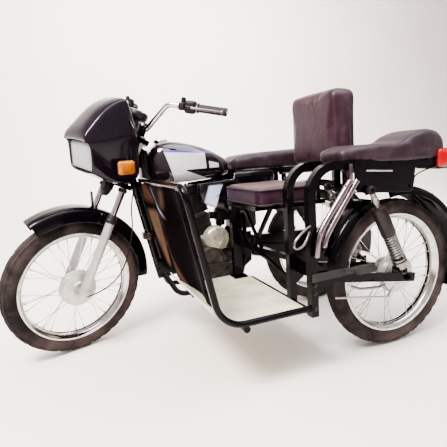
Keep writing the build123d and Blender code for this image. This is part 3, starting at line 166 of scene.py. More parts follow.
def trace(name, points, closed=False):
    """Draw a line of edges from point to point by extruding one vertex; stays in edit mode."""
    bare()
    bpy.ops.mesh.primitive_plane_add(size=0.01, location=points[0])
    obj = named(settle(bpy.context.object), name)
    edit(obj, "VERT")
    bpy.ops.mesh.select_all(action="SELECT")
    bpy.ops.mesh.merge(type="CENTER")
    line = list(points) + ([points[0]] if closed else [])
    for start, end in zip(line, line[1:]):
        bpy.ops.mesh.extrude_region_move(TRANSFORM_OT_translate={"value": end - start})
    bpy.ops.mesh.select_all(action="SELECT")
    if closed:
        bpy.ops.mesh.remove_doubles(threshold=1e-6)
    return obj


def outward():
    """In edit mode: close the seams and turn all faces outwards."""
    bpy.ops.mesh.select_all(action="SELECT")
    bpy.ops.mesh.remove_doubles(threshold=1e-6)
    bpy.ops.mesh.normals_make_consistent(inside=False)


def turned(name, profile, centre, axis, across, steps, closed=True):
    """Spin a profile of (along, radius) millimetre pairs round an axle."""
    points = [centre + axis * a * MM + across * r * MM for a, r in profile]
    obj = trace(name, points, closed)
    bpy.ops.mesh.spin(steps=steps, angle=math.tau, center=centre, axis=axis)
    outward()
    bare()
    return obj


def smooth(obj, degrees=35.0):
    """Shade smooth, with edges sharper than an angle left sharp."""
    pick(obj)
    bpy.ops.object.shade_smooth_by_angle(angle=math.radians(degrees))
    bare()
    return obj


def apply(obj, kind, **settings):
    """Add a modifier with its settings and apply it."""
    pick(obj)
    modifier = obj.modifiers.new(kind.title(), kind)
    for key, value in settings.items():
        setattr(modifier, key, value)
    bpy.ops.object.modifier_apply(modifier=modifier.name)
    return obj


def joined(objects, name):
    """Join objects into one piece."""
    pick(*objects)
    if len(objects) > 1:
        bpy.ops.object.join()
    obj = named(bpy.context.object, name)
    bare()
    return obj


def rod(name, start, end, radius, sides=12, tip=None):
    """A straight rod between two points, shaped from a cylinder."""
    bare()
    way = end - start
    bpy.ops.mesh.primitive_cone_add(
        vertices=sides,
        radius1=radius * MM,
        radius2=(radius if tip is None else tip) * MM,
        depth=way.length,
        location=(start + end) / 2,
        rotation=way.to_track_quat("Z", "Y").to_euler(),
    )
    return smooth(named(settle(bpy.context.object), name))


def block(name, centre, size, bevel=2.0, turn=None, segments=2):
    """A box with rounded edges; size in millimetres."""
    bare()
    bpy.ops.mesh.primitive_cube_add(size=1.0, location=(0, 0, 0))
    obj = named(bpy.context.object, name)
    obj.scale = [s * MM for s in size]
    settle(obj)
    if bevel:
        apply(obj, "BEVEL", width=bevel * MM, segments=segments, limit_method="ANGLE")
    obj.data.transform(Matrix.Translation(centre) @ (turn.to_4x4() if turn else Matrix()))
    return smooth(obj)


def bolt(name, place, axis, across_flats=10.0, height=6.0):
    """A hexagon bolt head with its washer, facing along an axis."""
    head = rod(name, place, place + axis * height * MM, across_flats * 0.577, 6)
    washer = rod(name + "_washer", place, place + axis * 1.4 * MM, across_flats * 0.8, 16)
    return joined([head, washer], name)


def wire(name, points, radius, sides=3):
    """A round bar or cable along a smooth NURBS line through a few control points."""
    obj = trace(name, points)
    bare()
    pick(obj)
    bpy.ops.object.convert(target="CURVE")
    curve = obj.data
    bpy.ops.object.mode_set(mode="EDIT")
    bpy.ops.curve.select_all(action="SELECT")
    bpy.ops.curve.spline_type_set(type="NURBS")
    bpy.ops.object.mode_set(mode="OBJECT")
    for spline in curve.splines:
        spline.order_u = 3
        spline.use_endpoint_u = True
        spline.resolution_u = 8
    curve.bevel_depth = radius * MM
    curve.bevel_resolution = sides
    curve.use_fill_caps = True
    pick(obj)
    bpy.ops.object.convert(target="MESH")
    return smooth(named(bpy.context.object, name), 60)


def skin_loft(name, rings, close_ends=True):
    """Bridge rings of points, drawn one after another, into one skin."""
    drawn = []
    for count, ring in enumerate(rings):
        drawn.append(trace(f"{name}_ring{count}", ring, closed=True))
        bare()
    obj = joined(drawn, name)
    edit(obj, "EDGE")
    bpy.ops.mesh.select_all(action="SELECT")
    bpy.ops.mesh.bridge_edge_loops()
    if close_ends:
        bpy.ops.mesh.select_all(action="DESELECT")
        bpy.ops.mesh.select_non_manifold()
        bpy.ops.mesh.fill_holes(sides=0)
    outward()
    bare()
    return obj


def rounded_ring(centre, half, low, high, corner, across, up, count=6):
    """Points round a rectangle with rounded corners, in the plane of across and up."""
    corner = min(corner, half - 0.5, (high - low) / 2 - 0.5)
    points = []
    for sx, sy, start in CORNERS:
        cx = sx * (half - corner)
        cz = (low + high) / 2 + sy * ((high - low) / 2 - corner)
        for step in range(count):
            turn = math.radians(start + 90.0 * step / (count - 1))
            x = cx + corner * math.cos(turn)
            z = cz + corner * math.sin(turn)
            points.append(centre + across * x * MM + up * z * MM)
    return points


def fit(obj, body, finish, replaced=()):
    """Give a finished piece its material and the body it moves with.

    A mesh of the front end is modelled straight ahead, and turned here with the bars."""
    if body in FRONT_BODIES and obj.type == "MESH":
        obj.data.transform(STEERED)
    obj.data.materials.clear()
    obj.data.materials.append(finish)
    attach(obj, body)
    if replaced:
        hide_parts(*replaced)
    return obj


# finishes


def linear(code):
    """An sRGB hex colour as the linear values that a shader takes."""
    parts = [int(code[i : i + 2], 16) / 255 for i in (1, 3, 5)]
    return tuple(p / 12.92 if p <= 0.04045 else ((p + 0.055) / 1.055) ** 2.4 for p in parts) + (1.0,)


def add_node(tree, kind, settings=None, links=None):
    """Add a node, set its own settings and sockets, and link other sockets into it."""
    node = tree.nodes.new(kind)
    for key, value in (settings or {}).items():
        if isinstance(key, str) and hasattr(node, key):
            setattr(node, key, value)
        else:
            node.inputs[key].default_value = value
    for key, source in (links or {}).items():
        tree.links.new(source, node.inputs[key])
    return node


def local_millimetres(tree, place):
    """X, Y and Z in the machine's own millimetres, split for masks."""
    zero = at(0, 0, 0)
    local = add_node(
        tree,
        "ShaderNodeMapping",
        {"vector_type": "POINT", "Location": (-zero.x * 1000, -zero.y * 1000, -zero.z * 1000),
         "Scale": (1000.0, 1000.0, 1000.0)},
        {"Vector": place},
    )
    return add_node(tree, "ShaderNodeSeparateXYZ", {}, {"Vector": local.outputs["Vector"]})


def painted(tree, base, coats):
    """Paints laid one over another on a base colour, each where all its masks are 1."""
    for paint, masks in coats:
        share = masks[0]
        for mask in masks[1:]:
            share = add_node(
                tree, "ShaderNodeMath", {"operation": "MULTIPLY"}, {0: share, 1: mask}
            ).outputs[0]
        base = add_node(
            tree, "ShaderNodeMix", {"data_type": "RGBA", 7: paint}, {0: share, 6: base}
        ).outputs[2]
    return base


def set_constants(shader, constants):
    """Set the shader's sockets to constants; their names are given in small letters."""
    for socket, value in constants.items():
        shader.inputs[socket.replace("_", " ").title().replace("Ior", "IOR")].default_value = value


def finish_of(name):
    """An empty material with its tree, shader and Object coordinates."""
    finish = bpy.data.materials.new(name)
    finish.use_nodes = True
    tree = finish.node_tree
    shader = tree.nodes["Principled BSDF"]
    place = add_node(tree, "ShaderNodeTexCoord").outputs["Object"]
    return finish, tree, shader, place


def worn(name, clean, soil, sizes, rough, amount, dust=0.0, bump=0.1, **constants):
    """A surface whose clean colour gathers soil in patches and dust where it faces up; on the passenger's
    cushion that upward paleness is painted sunlight on its top along with dust.

    sizes are the patch and grain sizes in millimetres, rough the lowest and highest roughness,
    amount the share of soil, bump the depth of the grain in tenths of a millimetre."""
    finish, tree, shader, place = finish_of(name)
    patch_mm, grain_mm = sizes
    patches = add_node(
        tree,
        "ShaderNodeTexNoise",
        {"Scale": 1000.0 / patch_mm, "Detail": 5.0, "Roughness": 0.62},
        {"Vector": place},
    )
    grain = add_node(
        tree,
        "ShaderNodeTexNoise",
        {"Scale": 1000.0 / grain_mm, "Detail": 3.0, "Roughness": 0.5},
        {"Vector": place},
    )
    spread = add_node(
        tree,
        "ShaderNodeMapRange",
        {"From Min": 0.42, "From Max": 0.74, "To Min": 0.0, "To Max": amount},
        {"Value": patches.outputs["Fac"]},
    )
    facing = add_node(tree, "ShaderNodeNewGeometry")
    split = add_node(tree, "ShaderNodeSeparateXYZ", {}, {"Vector": facing.outputs["Normal"]})
    # paler upward faces: dust, and on the cushion also a painted sunlit top
    upward_dust_and_light = add_node(
        tree,
        "ShaderNodeMapRange",
        {"From Min": 0.55, "From Max": 1.0, "To Min": 0.0, "To Max": dust},
        {"Value": split.outputs["Z"]},
    )
    soil_dust_and_light = add_node(
        tree,
        "ShaderNodeMath",
        {"operation": "MULTIPLY_ADD"},
        {0: upward_dust_and_light.outputs["Result"], 1: patches.outputs["Fac"], 2: spread.outputs["Result"]},
    )
    capped = add_node(tree, "ShaderNodeMath", {"operation": "MINIMUM", 1: 0.95}, {0: soil_dust_and_light.outputs[0]})
    colour = add_node(
        tree,
        "ShaderNodeMix",
        {"data_type": "RGBA", 6: linear(clean), 7: linear(soil)},
        {0: capped.outputs[0]},
    )
    tree.links.new(colour.outputs[2], shader.inputs["Base Color"])
    gloss = add_node(
        tree,
        "ShaderNodeMapRange",
        {"From Min": 0.0, "From Max": 0.9, "To Min": rough[0], "To Max": rough[1]},
        {"Value": capped.outputs[0]},
    )
    tree.links.new(gloss.outputs["Result"], shader.inputs["Roughness"])
    relief = add_node(
        tree,
        "ShaderNodeBump",
        {"Strength": GRAIN_STRENGTH, "Distance": bump * 0.0001},
        {"Height": grain.outputs["Fac"]},
    )
    tree.links.new(relief.outputs["Normal"], shader.inputs["Normal"])
    set_constants(shader, constants)
    return finish, tree, shader, place, relief, colour


def fluted(name, clean, flute_mm, rough, depth, **constants):
    """A moulded lens with upright flutes pressed into it, their pitch and depth in millimetres."""
    finish, tree, shader, place = finish_of(name)
    flutes = add_node(
        tree,
        "ShaderNodeTexWave",
        {"wave_type": "BANDS", "bands_direction": "Y", "Scale": RIDGES / flute_mm, "Distortion": 0.0},
        {"Vector": place},
    )
    film = add_node(
        tree,
        "ShaderNodeTexNoise",
        {"Scale": 30.0, "Detail": 4.0},
        {"Vector": place},
    )
    tint = add_node(
        tree,
        "ShaderNodeMix",
        {"data_type": "RGBA", 6: linear(clean[0]), 7: linear(clean[1])},
        {0: film.outputs["Fac"]},
    )
    tree.links.new(tint.outputs[2], shader.inputs["Base Color"])
    haze = add_node(
        tree,
        "ShaderNodeMapRange",
        {"From Min": 0.3, "From Max": 0.8, "To Min": rough[0], "To Max": rough[1]},
        {"Value": film.outputs["Fac"]},
    )
    tree.links.new(haze.outputs["Result"], shader.inputs["Roughness"])
    relief = add_node(
        tree,
        "ShaderNodeBump",
        {"Strength": 0.5, "Distance": depth * MM},
        {"Height": flutes.outputs["Fac"]},
    )
    tree.links.new(relief.outputs["Normal"], shader.inputs["Normal"])
    set_constants(shader, constants)
    return finish


def leathery(name, clean, soil, amount, dust, sheen):
    """Vinyl seat cover: soft creased grain, paler in patches where hands and sun have dried it and paler
    where it faces up; on the passenger's cushion the pale top is painted sunlight along with dust.
    """
    finish, tree, shader, place, relief, colour = worn(
        name, clean, soil, (90.0, 3.0), (0.42, 0.7), amount, dust, 1.0, sheen_weight=sheen,
        specular_ior_level=0.35,
    )
    cells = add_node(
        tree,
        "ShaderNodeTexVoronoi",
        {"feature": "DISTANCE_TO_EDGE", "Scale": 1000.0 / 4.0},
        {"Vector": place},
    )
    grain = add_node(
        tree,
        "ShaderNodeBump",
        {"Strength": GRAIN_STRENGTH, "Distance": 0.0005},
        {"Height": cells.outputs["Distance"], "Normal": relief.outputs["Normal"]},
    )
    creases = add_node(
        tree,
        "ShaderNodeTexNoise",
        {"Scale": 14.0, "Detail": 3.0, "Distortion": 1.4},
        {"Vector": place},
    )
    soft = add_node(
        tree,
        "ShaderNodeBump",
        {"Strength": GRAIN_STRENGTH, "Distance": 0.006},
        {"Height": creases.outputs["Fac"], "Normal": grain.outputs["Normal"]},
    )
    tree.links.new(soft.outputs["Normal"], shader.inputs["Normal"])
    return finish


def ribbed_rubber():
    """Moulded grip and peg rubber: dull black with fine rings round it."""
    finish, tree, shader, place, relief, colour = worn(
        "moulded_grip_rubber", "#1B1A1B", "#4A443D", (40.0, 2.0), (0.62, 0.85), 0.4, 0.3, 1.5
    )
    rings = add_node(
        tree,
        "ShaderNodeTexWave",
        {"wave_type": "BANDS", "bands_direction": "Y", "Scale": RIDGES / 6.0, "Distortion": 0.0},
        {"Vector": place},
    )
    ribs = add_node(
        tree,
        "ShaderNodeBump",
        {"Strength": 0.6, "Distance": 0.0012},
        {"Height": rings.outputs["Fac"], "Normal": relief.outputs["Normal"]},
    )
    tree.links.new(ribs.outputs["Normal"], shader.inputs["Normal"])
    return finish


def make_finishes():
    """Every finish of the outfit, by a short name."""
    made = {}
    # baked stove enamel: deep gloss with faint orange peel, brown road dust where it lies flat
    made["enamel"] = worn(
        "baked_black_enamel", "#08050A", "#33262B", (160.0, 3.0), (0.14, 0.34), 0.08, 0.04, 0.4,
        specular_ior_level=0.18, coat_weight=0.1, coat_roughness=0.06,
    )[0]
    # the same enamel on frame parts near the road, duller and browner
    made["frame"] = worn(
        "road_worn_black_enamel", "#080509", "#2C2022", (90.0, 2.5), (0.16, 0.38), 0.08, 0.03, 0.5,
        specular_ior_level=0.14, coat_weight=0.05, coat_roughness=0.08,
    )[0]
    # nickel and chrome plate: mirror bright with a freckle of brown pits
    made["chrome"] = worn(
        "chrome_plate", "#DAD8D6", "#6B5646", (22.0, 1.5), (0.10, 0.55), 0.35, 0.0, 0.3,
        metallic=1.0,
    )[0]
    # the rims' chrome, browner and duller than the small parts
    made["rim"] = worn(
        "weathered_chrome_rim", "#D2CFCC", "#5A4A40", (30.0, 2.0), (0.12, 0.5), 0.4, 0.0, 0.4,
        metallic=1.0,
    )[0]
    # pressure die cast aluminium, clear lacquered: pale satin with a fine sandy skin
    made["alloy"] = worn(
        "lacquered_cast_aluminium", "#C9C7C2", "#6E6459", (60.0, 1.6), (0.30, 0.55), 0.35, 0.08, 1.2,
        metallic=0.7,
    )[0]
    # crankcase castings, dark with oil and road dirt
    made["case"] = worn(
        "oil_stained_crankcase", "#57504E", "#17100F", (46.0, 1.6), (0.3, 0.55), 0.75, 0.03, 1.2,
        metallic=0.7,
    )[0]
    # the generator cover, rubbed bright by the rider's boot
    made["bright_alloy"] = worn(
        "polished_cast_aluminium", "#BDB5A6", "#5E5044", (44.0, 1.6), (0.3, 0.55), 0.55, 0.05, 0.8,
        metallic=0.55,
    )[0]
    # castings of the fork and hubs in silver paint, thin and scuffed
    made["silver"] = worn(
        "silver_painted_casting", "#C9C8C6", "#7A7066", (70.0, 1.6), (0.30, 0.6), 0.4, 0.1, 1.0,
        metallic=0.55,
    )[0]
    # sand cast barrel, black paint burnt to brown grey
    made["barrel"] = worn(
        "heat_dulled_black_casting", "#1C1718", "#5B4E44", (40.0, 1.8), (0.5, 0.8), 0.35, 0.3, 2.0,
        metallic=0.2,
    )[0]
    # tyre tread and wall: carbon black rubber greyed by the road
    made["tyre"] = worn(
        "vulcanised_tyre_rubber", "#1A1415", "#7A6A66", (230.0, 2.0), (0.7, 0.92), 0.5, 0.12, 1.6,
        specular_ior_level=0.2,
    )[0]
    # chrome gone cloudy and brown by the roadside
    made["dull_chrome"] = worn(
        "clouded_chrome", "#938689", "#4A3A34", (26.0, 2.0), (0.2, 0.5), 0.5, 0.0, 0.4,
        metallic=1.0,
    )[0]
    # polyvinyl sheath of the drive cable, dusty in its bends
    made["cable"] = worn(
        "cable_sheath", "#0E0B0D", "#4A3C36", (30.0, 2.0), (0.4, 0.6), 0.3, 0.2, 0.4,
        specular_ior_level=0.35,
    )[0]
    # polished ABS moulding of the visor: near black with a violet depth under gloss
    made["moulding"] = worn(
        "polished_abs_moulding", "#140C15", "#3E2E38", (220.0, 6.0), (0.14, 0.32), 0.12, 0.15, 0.3,
        specular_ior_level=0.3, coat_weight=0.15, coat_roughness=0.06,
    )[0]
    # grained plastic of switches, air box and instrument
    made["plastic"] = worn(
        "grained_black_plastic", "#121013", "#423A38", (60.0, 1.2), (0.45, 0.7), 0.25, 0.2, 2.0,
        specular_ior_level=0.35,
    )[0]
    # sheet metal footboard: cream paint, walked dull and streaked with mud
    made["board"] = worn(
        "walked_cream_paint", "#E2DBC2", "#8C7C62", (120.0, 4.0), (0.45, 0.8), 0.55, 0.06, 1.2,
    )[0]
    # spring wire and damper bodies, bright steel under oil and dust
    made["spring"] = worn(
        "oiled_spring_steel", "#8F8C8A", "#3D342C", (25.0, 1.5), (0.22, 0.6), 0.6, 0.1, 0.6,
        metallic=1.0,
    )[0]
    # brown black shroud plastic
    made["shroud"] = worn(
        "brown_black_shroud", "#1A1114", "#46352F", (50.0, 2.0), (0.3, 0.6), 0.25, 0.2, 0.8,
        specular_ior_level=0.35,
    )[0]
    # pressed glass of the headlamp, flutes 7 mm apart, and acrylic lenses, flutes 5 mm apart
    made["glass"] = fluted(
        "fluted_headlamp_glass", ("#E9EAEC", "#C3C6CC"), 7.0, (0.05, 0.25), 0.9,
        transmission_weight=0.55, ior=1.5,
    )
    made["amber"] = fluted(
        "amber_acrylic", ("#E8912A", "#B25A12"), 5.0, (0.1, 0.3), 0.8, transmission_weight=0.3,
        ior=1.49,
    )
    made["red"] = fluted(
        "red_acrylic", ("#D01A1C", "#8A0A10"), 5.0, (0.08, 0.25), 0.6, transmission_weight=0.1,
        ior=1.49,
    )
    # stitched vinyl covers: the long seats, the passenger's cushion and the backrest
    made["seat"] = leathery("embossed_seat_vinyl", "#22111B", "#5E4A52", 0.3, 0.3, 0.04)
    # the cushion's large upward share paints its top pale brown: painted sunlight on its top along with dust
    made["cushion"] = leathery("brown_cushion_vinyl", "#2C0F25", "#75645A", 0.12, 0.8, 0.04)
    made["backrest"] = leathery("plum_backrest_vinyl", "#301823", "#5C4450", 0.3, 0.1, 0.04)
    made["grip"] = ribbed_rubber()
    return made


FINISHES = {}

# what each CAD node is finished in
NODE_FINISHES = {
    "front_brake_plate": "alloy",
    "brake_plates": "alloy",
    "fork_sliders": "silver",
    "fork_tubes": "chrome",
    "fork_clamps": "frame",
    "handlebar": "chrome",
    "hand_grips": "grip",
    "hand_controls": "plastic",
    "cowl": "moulding",
    "headlamp": "glass",
    "front_indicators": "amber",
    "instrument": "plastic",
    "front_guard": "enamel",
    "speedo_cable": "plastic",
    "bike_frame": "frame",
    "engine_block": "alloy",
    "engine_cylinder": "barrel",
    "intake": "plastic",
    "exhaust": "chrome",
    "fuel_tank": "enamel",
    "bike_seat": "seat",
    "side_panels": "moulding",
    "bike_rear_guard": "enamel",
    "bike_swingarm": "frame",
    "chain_case": "frame",
    "shock_absorbers": "spring",
    "foot_controls": "grip",
    "carriage_frame": "frame",
    "cushion_stand": "frame",
    "side_cushion": "cushion",
    "side_backrest": "cushion",
    "footboard": "board",
    "leg_shield": "enamel",
    "carriage_seat": "seat",
    "carriage_cover": "enamel",
    "carriage_guard": "enamel",
    "carriage_swingarm": "frame",
    "tail_lamps": "red",
    "chrome_stays": "chrome",
    "front_tyre": "tyre",
    "rear_tyre": "tyre",
    "side_tyre": "tyre",
    "front_wheel": "rim",
    "rear_wheel": "rim",
    "side_wheel": "rim",
}


# wheels

# name, body, axle centre, and 1 where the brake drum is on the left or -1 on the right
ROLLERS = (
    ("front", "front_roller", at(WHEELBASE, 0, TYRE_R), 1.0),
    ("rear", "rear_roller", at(0, 0, TYRE_R), -1.0),
    ("side", "side_roller", at(SIDE_AXLE_X, SIDE_WHEEL_Y, TYRE_R), 1.0),
)

# half of a tyre's section: distance from the middle plane, radius
TYRE_HALF_SECTION = (
    (22, 234), (25, 240), (31, 247), (34.5, 256), (34.8, 265), (32, 275), (27, 282.5),
    (26, 288), (19, 291.5), (17.5, 290.5), (14.5, 293.8), (9, 294.8), (8, 293.2), (5.5, 295.4),
)
# half of the rim's section, from its lip to the well
RIM_HALF_SECTION = (
    (27, 240), (28.4, 238), (27.4, 234), (23, 230.5), (21, 226), (12, 221), (5, 217.6),
    (5, 215.6), (12.8, 218.6), (22.4, 223.6), (24.8, 229), (29, 232), (30.2, 238.5),
)
# each hub flange: distance from the middle plane, radius of its holes, shift of its spokes
FLANGES = ((27, 72, 0.5), (-33, 48, 0.0))
SPOKE_PAIRS = 18


def both_sides(half):
    """A closed section from its half: the given points and their mirror images."""
    return list(half) + [(-a, r) for a, r in reversed(half)]


def tyre(name, body, centre, tread):
    """A road tyre: beads, ribbed crown and shoulder blocks that stand out by the tread depth."""
    obj = turned(name + "_road_tyre", both_sides(TYRE_HALF_SECTION), centre, LEFT, FORWARD, 108)

    def tread_block(face):
        """Every face of the crown and shoulders but those that stay as grooves."""
        out = face.center - centre
        radius = math.hypot(out.x, out.z) / MM
        side = abs(out.y) / MM
        angle = math.atan2(out.z, out.x) / math.tau * 54
        on_shoulder = 282 < radius < 291.3 and 19 < side < 30
        on_crown = radius > 293.6 and 9.5 < side < 16
        stagger = 0.5 if out.y > 0 else 0
        return (on_shoulder and int(math.floor(angle * 2)) % 3 != 0) or (
            on_crown and int(math.floor(angle * 2 + stagger)) % 4 != 0
        )

    edit(obj)
    choose(obj, tread_block)
    bpy.ops.mesh.inset(thickness=0.5 * MM, depth=tread, use_boundary=True)
    outward()
    bare()
    smooth(obj, 28)
    return fit(obj, body, FINISHES["tyre"], [name + "_tyre"])


def spoke(centre, drum, count, flange):
    """One laced spoke with its nipple, from the flange's hole to the rim's well."""
    out, root_r, stagger = flange
    out *= drum
    turn = math.radians(360.0 / SPOKE_PAIRS * (count + stagger))
    crossing = math.radians(15.6 if count % 2 else -15.6)
    face = 2.2 if count % 2 else -2.2
    root = centre + Vector((root_r * math.cos(turn), out + face, root_r * math.sin(turn))) * MM
    seat = turn + crossing
    tip = centre + Vector(
        (217.5 * math.cos(seat), math.copysign(4, out), 217.5 * math.sin(seat))
    ) * MM
    way = (tip - root).normalized()
    made = [rod("spoke", root, tip, 1.35, 8)]
    made.append(rod("nipple", tip - way * 13 * MM, tip + way * 1 * MM, 3.0, 8, 2.4))
    made.append(rod("elbow", root - LEFT * 3.2 * MM, root + LEFT * 3.2 * MM, 2.2, 8))
    return made


def wheel(name, body, centre, drum):
    """A rim with its lips and well, 36 laced spokes, and a hub with its drum and flange."""
    rim = turned(name + "_rim", both_sides(RIM_HALF_SECTION), centre, LEFT, FORWARD, 96)
    pieces = [rim]
    for count in range(SPOKE_PAIRS):
        for flange in FLANGES:
            pieces += spoke(centre, drum, count, flange)
    rim = joined(pieces, name + "_rim_and_spokes")
    smooth(rim, 40)
    section = [
        (42, 7), (42, 68), (41, 74), (36, 76), (33, 77.5), (31, 77.5), (29, 76), (24, 76.2),
        (22, 78), (19, 78), (14, 73), (10, 44), (6, 31), (-10, 24), (-27, 25), (-31, 30),
        (-31, 50), (-32.5, 52), (-35, 52), (-36, 50), (-36, 22), (-40, 19), (-48, 18), (-48, 7),
    ]
    hub = turned(
        name + "_hub_drum", [(a * drum, r) for a, r in section], centre, LEFT, FORWARD, 72
    )
    smooth(hub, 30)
    fit(rim, body, FINISHES["rim"], [name + "_wheel"])
    fit(hub, body, FINISHES["silver"], [name + "_wheel"])


# front end


def fork_seals():
    """The dust seal and the rubber cuff round each tube of the telescopic fork."""
    made = []
    for side in (-90, 90):
        base = HEAD_FOOT + HEAD_AXIS * 626 * MM + FORE * AXLE_FORE * MM + LEFT * side * MM
        seal = turned(
            "seal",
            [(-12, 13.8), (-12, 20.4), (-9, 21.4), (4, 21.2), (7, 19.4), (10, 20.4), (13, 19.4),
             (16, 20.0), (19, 18.6), (24, 15.0), (25, 13.8)],
            base, HEAD_AXIS, LEFT, 32,
        )
        made.append(seal)
        cuff = turned(
            "cuff", [(126, 13.7), (126, 17.5), (129, 18.6), (139, 18.6), (142, 17.0), (142, 13.7)],
            base, HEAD_AXIS, LEFT, 28,
        )
        made.append(cuff)
    obj = smooth(joined(made, "fork_dust_seals"), 35)
    return fit(obj, "steering", FINISHES["plastic"])


def visor_ring(x, half, low, belt, top, crease_y, crease_z, nose=0.0):
    """Half section of the visor: flat keel, upright cheek, belt crease, facet, then the crown.

    The nose value carries what lies above the lamp forward."""
    half_ring = [
        (0, low), (half * 0.62, low), (half - 8, low + 6), (half, low + 22),
        (half + 1.5, (low + belt) / 2), (half + 2, belt - 4), (half, belt + 2),
        ((half + crease_y) / 2, (belt + crease_z) / 2), (crease_y, crease_z - 3),
        (crease_y - 5, crease_z + 3), (crease_y * 0.7, top - 3), (crease_y * 0.35, top), (0, top),
    ]
    left = [at(x + (nose if z > belt else 0.0), y, z) for y, z in half_ring]
    right = [at(x + (nose if z > belt else 0.0), -y, z) for y, z in reversed(half_ring[1:-1])]
    return left + right


VISOR = (
    (962, 112, 752, 900, 1008, 82, 998),
    (967, 115, 745, 905, 1020, 84, 1010),
    (985, 118, 734, 925, 1070, 86, 1060),
    (996, 120, 731, 930, 1076, 88, 1066),
    (1030, 121, 728, 926, 1070, 89, 1057),
    (1075, 120, 733, 918, 1050, 91, 1034),
    (1115, 118, 754, 913, 1016, 95, 998),
    (1143, 115, 775, 910, 986, 99, 968, 2.0),
    (1158, 113, 781, 909, 966, 102, 950, 7.0),
    (1164, 112, 783, 908, 950, 104, 936, 14.0),
    (1165, 111, 784, 907, 932, 105, 922, 18.0),
    (1164, 110, 785, 906, 914, 105, 911, 18.0),
    (1158, 107, 788, 904, 908, 102, 905, 10.0),
    (1128, 100, 794, 898, 903, 94, 899),
)


def cowl():
    """The visor round the headlamp: a facetted shell that leans back, open behind."""
    obj = skin_loft("visor_cowl", [visor_ring(*station) for station in VISOR], close_ends=False)
    apply(obj, "SUBSURF", levels=2, render_levels=2)
    apply(obj, "SOLIDIFY", thickness=2.6 * MM, offset=-1.0)
    smooth(obj, 50)
    fit(obj, "steering", FINISHES["moulding"], ["cowl"])

    # the two stays that hold the visor to the fork tubes
    stays = []
    for side in (-1, 1):
        tube_at = HEAD_FOOT + HEAD_AXIS * 850 * MM + FORE * AXLE_FORE * MM + LEFT * side * 104 * MM
        stays.append(block("stay", tube_at + LEFT * side * 6 * MM, (20, 14, 20), 2.0))
    holder = joined(stays, "cowl_stays")
    return fit(holder, "steering", FINISHES["frame"])


def headlamp():
    """A rectangular lamp: reflector bowl, bright rim and a fluted glass that bulges a little."""
    middle = 848
    bowl = skin_loft(
        "lamp_bowl",
        [
            rounded_ring(at(1096, 0, middle), 30, -20, 20, 10, LEFT, UP),
            rounded_ring(at(1120, 0, middle), 70, -40, 40, 14, LEFT, UP),
            rounded_ring(at(1148, 0, middle), 95, -52, 52, 14, LEFT, UP),
        ],
        close_ends=False,
    )
    apply(bowl, "SOLIDIFY", thickness=1.5 * MM, offset=-1.0)
    smooth(bowl, 60)
    fit(bowl, "steering", FINISHES["chrome"])
    glass = skin_loft(
        "headlamp_glass",
        [
            rounded_ring(at(1146, 0, middle), 98, -54, 54, 14, LEFT, UP),
            rounded_ring(at(1158, 0, middle), 98, -54, 54, 14, LEFT, UP),
            rounded_ring(at(1162, 0, middle), 94, -50, 50, 13, LEFT, UP),
            rounded_ring(at(1165, 0, middle), 74, -36, 36, 12, LEFT, UP),
            rounded_ring(at(1166.5, 0, middle), 34, -18, 18, 10, LEFT, UP),
        ],
    )
    smooth(glass, 40)
    fit(glass, "steering", FINISHES["glass"], ["headlamp"])


def turn_lamps():
    """The two amber lamps at the front: a black stalk and cup, and a fluted lens."""
    lenses, cups = [], []
    for side in (-1, 1):
        foot = at(1043, side * 124, 808)
        out = LEFT * side
        cups.append(rod("stalk", foot, foot + out * 15 * MM, 9, 16, 7.5))
        shell = skin_loft(
            "cup",
            [
                rounded_ring(foot + out * 13 * MM, 14, -12, 12, 8, FORWARD, UP),
                rounded_ring(foot + out * 20 * MM, 33, -25, 25, 11, FORWARD, UP),
                rounded_ring(foot + out * 27 * MM, 37, -29, 29, 12, FORWARD, UP),
                rounded_ring(foot + out * 30 * MM, 37, -29, 29, 12, FORWARD, UP),
            ],
        )
        cups.append(smooth(shell, 35))
        lens = skin_loft(
            "lens",
            [
                rounded_ring(foot + out * 30 * MM, 35, -27, 27, 11, FORWARD, UP),
                rounded_ring(foot + out * 40 * MM, 34, -26, 26, 11, FORWARD, UP),
                rounded_ring(foot + out * 45 * MM, 29, -21, 21, 10, FORWARD, UP),
                rounded_ring(foot + out * 47 * MM, 18, -12, 12, 8, FORWARD, UP),
            ],
        )
        lenses.append(smooth(lens, 45))
    cup = joined(cups, "turn_lamp_cups")
    lens = joined(lenses, "turn_lamp_lenses")
    fit(cup, "steering", FINISHES["plastic"])
    fit(lens, "steering", FINISHES["amber"], ["front_indicators"])


def bar_end(side):
    """The end of the handlebar on one side, and the way that its last part runs."""
    end = at(708, side * 368, 1022)
    knee = at(858, side * 182, 1050)
    return end, (end - knee).normalized()


def ribbed_grips():
    """The two rubber grips, with a flange inboard and ribs round them."""
    made = []
    for side in (-1, 1):
        end, way = bar_end(side)
        start = end - way * 118 * MM
        across = way.cross(UP).normalized()
        section = [(0, 11.4), (0, 19), (3, 20.5), (6, 19), (8, 15.6)]
        for ring in range(9):
            a = 12 + ring * 11.2
            section += [(a, 15.2), (a + 1.5, 16.4), (a + 7.5, 16.4), (a + 9, 15.2)]
        section += [(114, 16.8), (117, 17.6), (119.4, 15.0), (119.4, 11.4)]
        made.append(turned("grip", section, start, way, across, 28))
    grips = smooth(joined(made, "ribbed_grips"), 35)
    fit(grips, "steering", FINISHES["grip"], ["hand_grips"])


# bodywork with soft shapes


def crowned_ring(x, y, half, low, high, corner, narrow, base_corner):
    """Points of one upright section: narrower at its top, with a radius above and one below."""
    points = []
    tall = high - low
    for sx, sy, start in CORNERS:
        radius = corner if sy > 0 else base_corner
        for step in range(5):
            turn = math.radians(start + 90.0 * step / 4)
            a = sx * (half - radius) + radius * math.cos(turn)
            b = sy * (tall / 2 - radius) + radius * math.sin(turn)
            share = (b + tall / 2) / tall
            width = a * (1.0 + (narrow - 1.0) * share)
            points.append(at(x, y + width, (low + high) / 2 + b))
    return points


